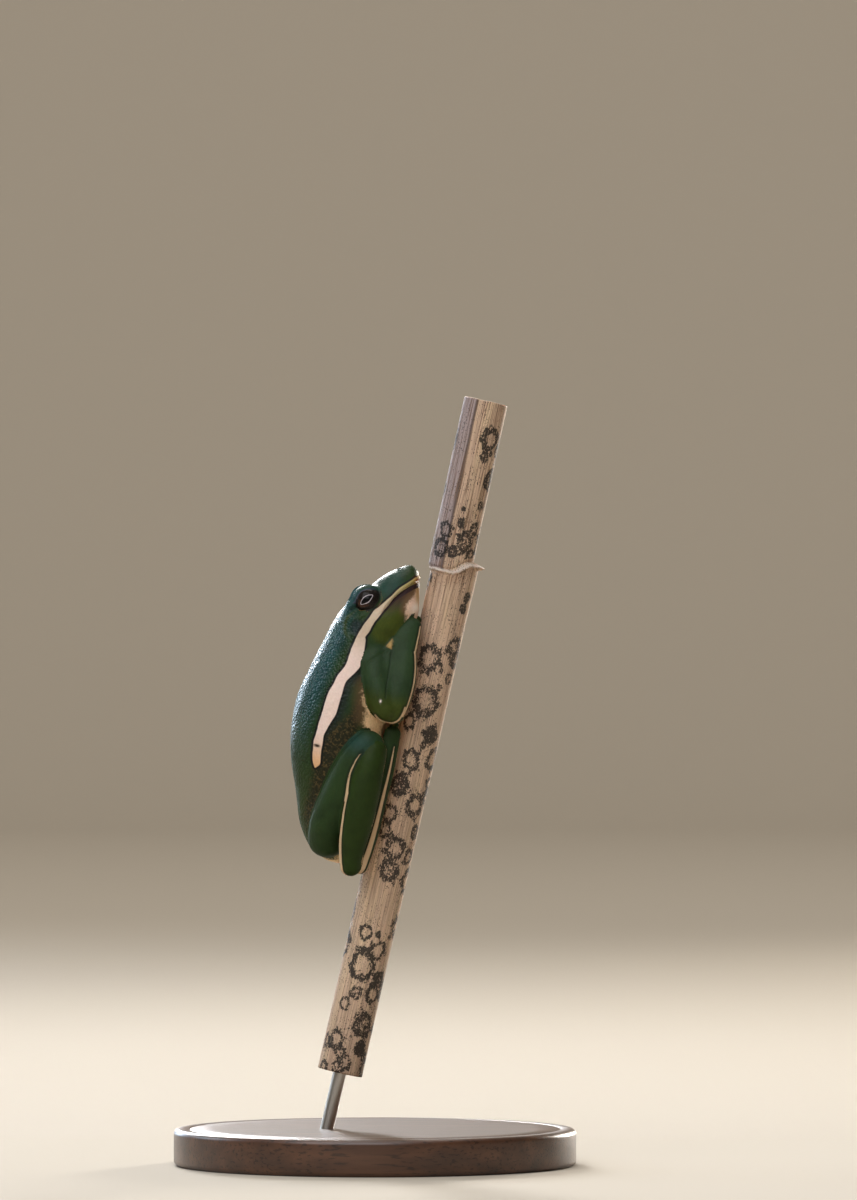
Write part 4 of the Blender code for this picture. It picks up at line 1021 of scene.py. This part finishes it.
# Moist frog skin: thin, a little see-through at its edges, with a film of slime over fine granules. The
# granules are drawn 0.4 mm across, a little coarser than life, so that they show.
frog = Paint("moist granular frog skin", Specular_IOR_Level=0.16, Subsurface_Weight=0.08,
             Subsurface_Scale=0.0005, Coat_Weight=0.03, Coat_Roughness=0.15)
where = frog.where()
fine = frog.noise(where, 2600.0, 3.0)
broad = frog.noise(where, 320.0, 3.0, 0.6)
granules = frog.add("TexVoronoi", {"Vector": where, "Scale": 2300.0}, "Distance")


def layers(under, *tints):
    """A colour with tints over it, each a number stored on the skin, its strength and its colour."""
    for name, strength, over in tints:
        under = frog.tint(under, name, strength, over)
    return under


# The blue green of the back is a painted reflection of the sky.
green = layers("#243818", ("teal", 1.0, "#183E3E"), ("olive", 1.0, "#3C4612"), ("shank", 1.0, "#24350C"))
green = frog.shaded(green, frog.ranged(broad, 0.3, 0.7, 0.8, 1.18))
# Pale granule tops on the back are a painted sheen.
green = layers(green, ("dorsal", frog.ranged(fine, 0.62, 0.7, 0.0, 0.6), "#10201A"),
               ("sheen", frog.ranged(granules, 0.2, 0.48, 0.5, 0.0), "#86A29E"),
               # Light olive along the ear's fold is a painted highlight.
               ("ear_rim", 0.7, "#3C4618"), ("flank_shade", 0.75, "#141C1C"))
green = frog.mix(frog.ranged(frog.field("ear"), 0.55, 1.1, 0.8, 0.0), green, "#1F2C30")
# Painted shade in the creases of the elbow and behind the jowl.
green = frog.tint(green, "crease", 0.55, "#12200F")
brown = frog.mix(frog.ranged(fine, 0.48, 0.7, 0.0, 0.7), "#211E12", "#6E5834")
mottle_at = frog.unsteady(frog.field("mottled"), broad, 1.0)
green = frog.mix(frog.ranged(mottle_at, 0.15, 0.95, 0.0, 0.85), green, brown)
brown_edge = frog.ranged(frog.field("pale"), -1.3, 0.0, 0.0, 0.9, smooth=True)
green = layers(green, ("jaw_brown", frog.plus(broad, 0.45), "#3A2410"), ("soft_edge", brown_edge, "#6A5038"))
cream = frog.tint("#F0CC9E", "throat", 1.0, "#E6C4AA")
cream = frog.mix(frog.ranged(fine, 0.35, 0.75, 0.3, 0.0), cream, "#8C7350")
pale_at = frog.unsteady(frog.unsteady(frog.field("pale"), broad, 1.2), fine, 0.9)
tone = frog.mix(frog.ranged(pale_at, -0.15, 0.55, smooth=True), green, cream)
# A painted glow on the chin and a painted glint on the elbow.
tone = layers(tone, ("amber", 0.8, "#BE9A60"), ("glow", 1.0, "#FFF2E8"))

# The flank stripe and the cream lines, in a dark border, lie over all of that.
line_at = frog.math("MAXIMUM", frog.unsteady(frog.field("stripe"), broad, 0.22), frog.field("trim"))
border = frog.times(frog.ranged(line_at, -0.5, -0.22, 0.0, 0.96, smooth=True),
                    frog.left_by(frog.times(frog.field("on_limb"), 0.55)))
tone = frog.mix(border, tone, "#0A0E0D")
# Painted shade of the mouth, as a dark band.
tone = frog.mix(frog.field("seam", -0.06, 0.08), tone, "#2A1A1A")
line_tone = layers("#F0D8CC", ("nape", 1.0, "#CEBAA2"), ("snout", 1.0, "#A49458"),
                   ("tail_end", 1.0, "#E4B486"), ("on_limb", 1.0, "#CDB08C"), ("fleck", 1.0, "#1C120E"))
line_tone = frog.mix(frog.ranged(fine, 0.3, 0.7, 0.16, 0.0), line_tone, "#A08468")
in_line = frog.ranged(line_at, -0.05, 0.05)
tone = frog.mix(in_line, tone, line_tone)
tone = frog.tint(tone, "lip_spot", 0.85, "#9A4A1C")

# The lids' rims are dark below and bluish above, the blue a painted reflection of the sky. A thin arc of gold
# under the eye is a painted highlight on the lid's fold, and the nostrils and the vent are painted dark, as
# shade in their pits.
lid_field = frog.field("lid")
gold_arc = frog.ranged(frog.plus(lid_field, -1.24), -0.1, 0.1)
gold_arc = frog.times(frog.times(gold_arc, frog.left_by(gold_arc)), 3.0)
gold_arc = frog.times(gold_arc, frog.field("lid_height", 0.3, -0.6))
tone = frog.mix(gold_arc, tone, "#7A5A22")
rim_tone = frog.mix(frog.field("lid_height", 0.2, 1.2), "#17120E", "#3C4656")
tone = frog.mix(frog.ranged(lid_field, 1.02, 1.12, 0.95, 0.0, smooth=True), tone, rim_tone)
# Painted shade in the nostrils and the vent.
tone = frog.mix(frog.ranged(frog.field("pit"), 0.5, 1.1, 0.85, 0.0), tone, "#14120E")
granule_height = frog.times(frog.ranged(frog.field("dorsal"), 0.0, 1.0, 0.2, 1.0),
                            frog.left_by(frog.times(in_line, 0.8)))
coarse_bump = frog.bump(frog.times(granules, granule_height), 0.5, 0.0003, invert=True)
skin_bump = frog.bump(fine, 0.3, 0.00006, Normal=coarse_bump)
frog.feed(Base_Color=tone, Roughness=frog.ranged(frog.field("wet"), 0.0, 1.0, 0.62, 0.25),
          Normal=skin_bump, Coat_Normal=skin_bump)
finish_piece(skin, frog, "frog_skin", *(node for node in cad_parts
                                        if not node.startswith(("eye", "reed", "stand"))))

# Each eye is a wet ball with a dark bronze iris, coppery below. The pupil lies along the head, pointed at
# both ends, in a thin pale ring.
EYE_ROWS, EYE_SIDES = 110, 120
wet_eye = Paint("wet bronze eye", Roughness=0.5, Specular_IOR_Level=0.05, Coat_Weight=0.25,
                Coat_Roughness=0.03)
veins = wet_eye.noise(wet_eye.where(), 4200.0, 4.0, 0.7)
upper_iris = wet_eye.ramp(veins, [(0.4, "#100D0C"), (0.7, "#33291F"), (0.55, "#1E1814")])
lower_iris = wet_eye.ramp(veins, [(0.4, "#2A1A14"), (0.7, "#6E4830"), (0.55, "#482E20")])
tone = wet_eye.tint(upper_iris, "eye_low", 1.0, lower_iris)
ring_tone = wet_eye.tint("#B9AFB4", "eye_low", 1.0, "#A88A70")
ragged_off = wet_eye.plus(wet_eye.field("pupil_off"), wet_eye.ranged(veins, 0.3, 0.7, -0.04, 0.04))
in_ring = wet_eye.times(wet_eye.ranged(ragged_off, 0.01, 0.06),
                        wet_eye.ranged(ragged_off, 0.13, 0.2, 1.0, 0.0))
tone = wet_eye.mix(in_ring, tone, ring_tone)
tone = wet_eye.mix(wet_eye.ranged(ragged_off, 0.0, 0.04, 1.0, 0.0), tone, "#050506")
wet_eye.feed(Base_Color=tone)
for side, side_name in ((1, "right"), (-1, "left")):
    look, forward, upward = eye_axes(side)
    latitude = np.radians(np.linspace(-88, 88, EYE_ROWS))[:, None, None]
    turn = full_turn(EYE_SIDES)[None, :, None]
    around = forward * np.cos(turn) + upward * np.sin(turn) * np.sign(np.cross(forward, upward) @ look)
    ball = EYE_RADIUS * (np.cos(latitude) * around + np.sin(latitude) * look)
    eye = rings_piece("eyeball_" + side_name, to_world(EYE_CENTRE * (1, 1, side) + ball))
    long, high = ball @ forward, ball @ upward
    off = (1 - 1 / np.maximum(almond(long, high, PUPIL, PUPIL_POWER), 0.05)) * np.hypot(long, high)
    copper = smooth_step(-0.45 * high - 0.9 * long, 0.2, 1.0) * smooth_step(off, 0.1, 0.4)
    copper = copper * (1 - smooth_step(off, 0.45, 0.8))
    set_attributes(eye, pupil_off=np.where(ball @ look > 0, off, FAR).ravel(), eye_low=copper.ravel())
    finish_piece(eye, wet_eye, "frog_eye", "eye_" + side_name)

# The studio: a seamless pale paper bowl, so that the floor runs up into the walls on every side, with
# narrow lamps behind the frog, a window at its left, and large soft boxes in front and over the backdrop.
BOWL_FLAT, BOWL_CURVE, BOWL_WALL = 2200, 1000, 3400
curve = [(BOWL_FLAT + BOWL_CURVE * math.sin(turn), BOWL_CURVE * (1 - math.cos(turn)))
         for turn in np.radians(np.linspace(0, 90, 24))]
bowl = turned("studio_bowl", [(1, 0), (400, 0), (1200, 0)] + curve + [(BOWL_FLAT + BOWL_CURVE, BOWL_WALL)],
              closed=False)
paper = Paint("matt studio paper", Roughness=0.95, Specular_IOR_Level=0.1, Base_Color="#B8AFA1")
bowl.data.materials.append(paper.material)
scene = bpy.context.scene
scene.world = bpy.data.worlds.new("studio")
scene.world.use_nodes = True
background = scene.world.node_tree.nodes["Background"]
background.inputs["Color"].default_value = linear("#E4E8EC")
background.inputs["Strength"].default_value = 0.12
scene.view_settings.view_transform = "Standard"

# Each square lamp: name, place and edge in millimetres, watts, colour, spread in degrees, and aim. A narrow
# spread is a grid over its front, which keeps its light off the floor.
FROG_MIDDLE = to_world(np.array([25.0, 8.0, 0.0]))
LAMPS = [("rim", (-420, 1600, 560), 320, 1.1, "#F6F9FF", 50, FROG_MIDDLE),
         ("rim_above", (-280, 1150, 740), 260, 0.9, "#FFFFFF", 50, FROG_MIDDLE),
         ("rim_right", (800, 1500, 300), 300, 2.3, "#FFF6EA", 50, FROG_MIDDLE),
         ("rim_left", (-650, 1350, 240), 300, 0.24, "#CFE4F8", 50, FROG_MIDDLE),
         ("left_window", (-1350, 650, 700), 800, 1.1, "#CFE2F4", 60, FROG_MIDDLE),
         ("front_fill", (-500, -1300, 1500), 2000, 37, "#FBFCFF", 180, FROG_MIDDLE),
         ("backdrop", (0, 700, 2300), 1500, 34, "#FFF8EE", 180, np.array([0, 3000, 300]))]
for name, place, size, watts, colour, spread, aim in LAMPS:
    light = bpy.data.lights.new(name, "AREA")
    light.size = size * MM
    light.energy = watts
    light.color = linear(colour)[:3]
    light.spread = math.radians(spread)
    lamp = bpy.data.objects.new(name, light)
    scene.collection.objects.link(lamp)
    place = np.array(place, float)
    back = unit(place - aim)
    across = unit(np.cross([0, 0, 1.0], back))
    turned_to = np.eye(4)
    turned_to[:3, :3] = np.array([across, np.cross(back, across), back]).T
    turned_to[:3, 3] = place * MM
    lamp.matrix_world = Matrix(turned_to.tolist())
    lamp.visible_camera = False

# The photo's frame, upright: its pixels are 0.164 mm each, the table is at row 1165, and the middle of the
# base at column 375.
PIXEL = 0.164
COLUMNS, ROWS = 857, 1200
BASE_COLUMN, TABLE_ROW = 375, 1165
VIEW_CENTRE = np.array([(COLUMNS / 2 - BASE_COLUMN) * PIXEL, 0.0, (TABLE_ROW - ROWS / 2) * PIXEL])
CAMERA_DISTANCE = 1500.0
SENSOR = 36
camera = bpy.data.objects.new("camera", bpy.data.cameras.new("camera"))
scene.collection.objects.link(camera)
camera.data.sensor_width = SENSOR
camera.data.lens = SENSOR * CAMERA_DISTANCE / (ROWS * PIXEL)
camera.data.clip_start = 0.05
camera.data.clip_end = 20
camera.location = (VIEW_CENTRE + (0, -CAMERA_DISTANCE, 0)) * MM
camera.rotation_euler = (math.pi / 2, 0, 0)
scene.camera = camera
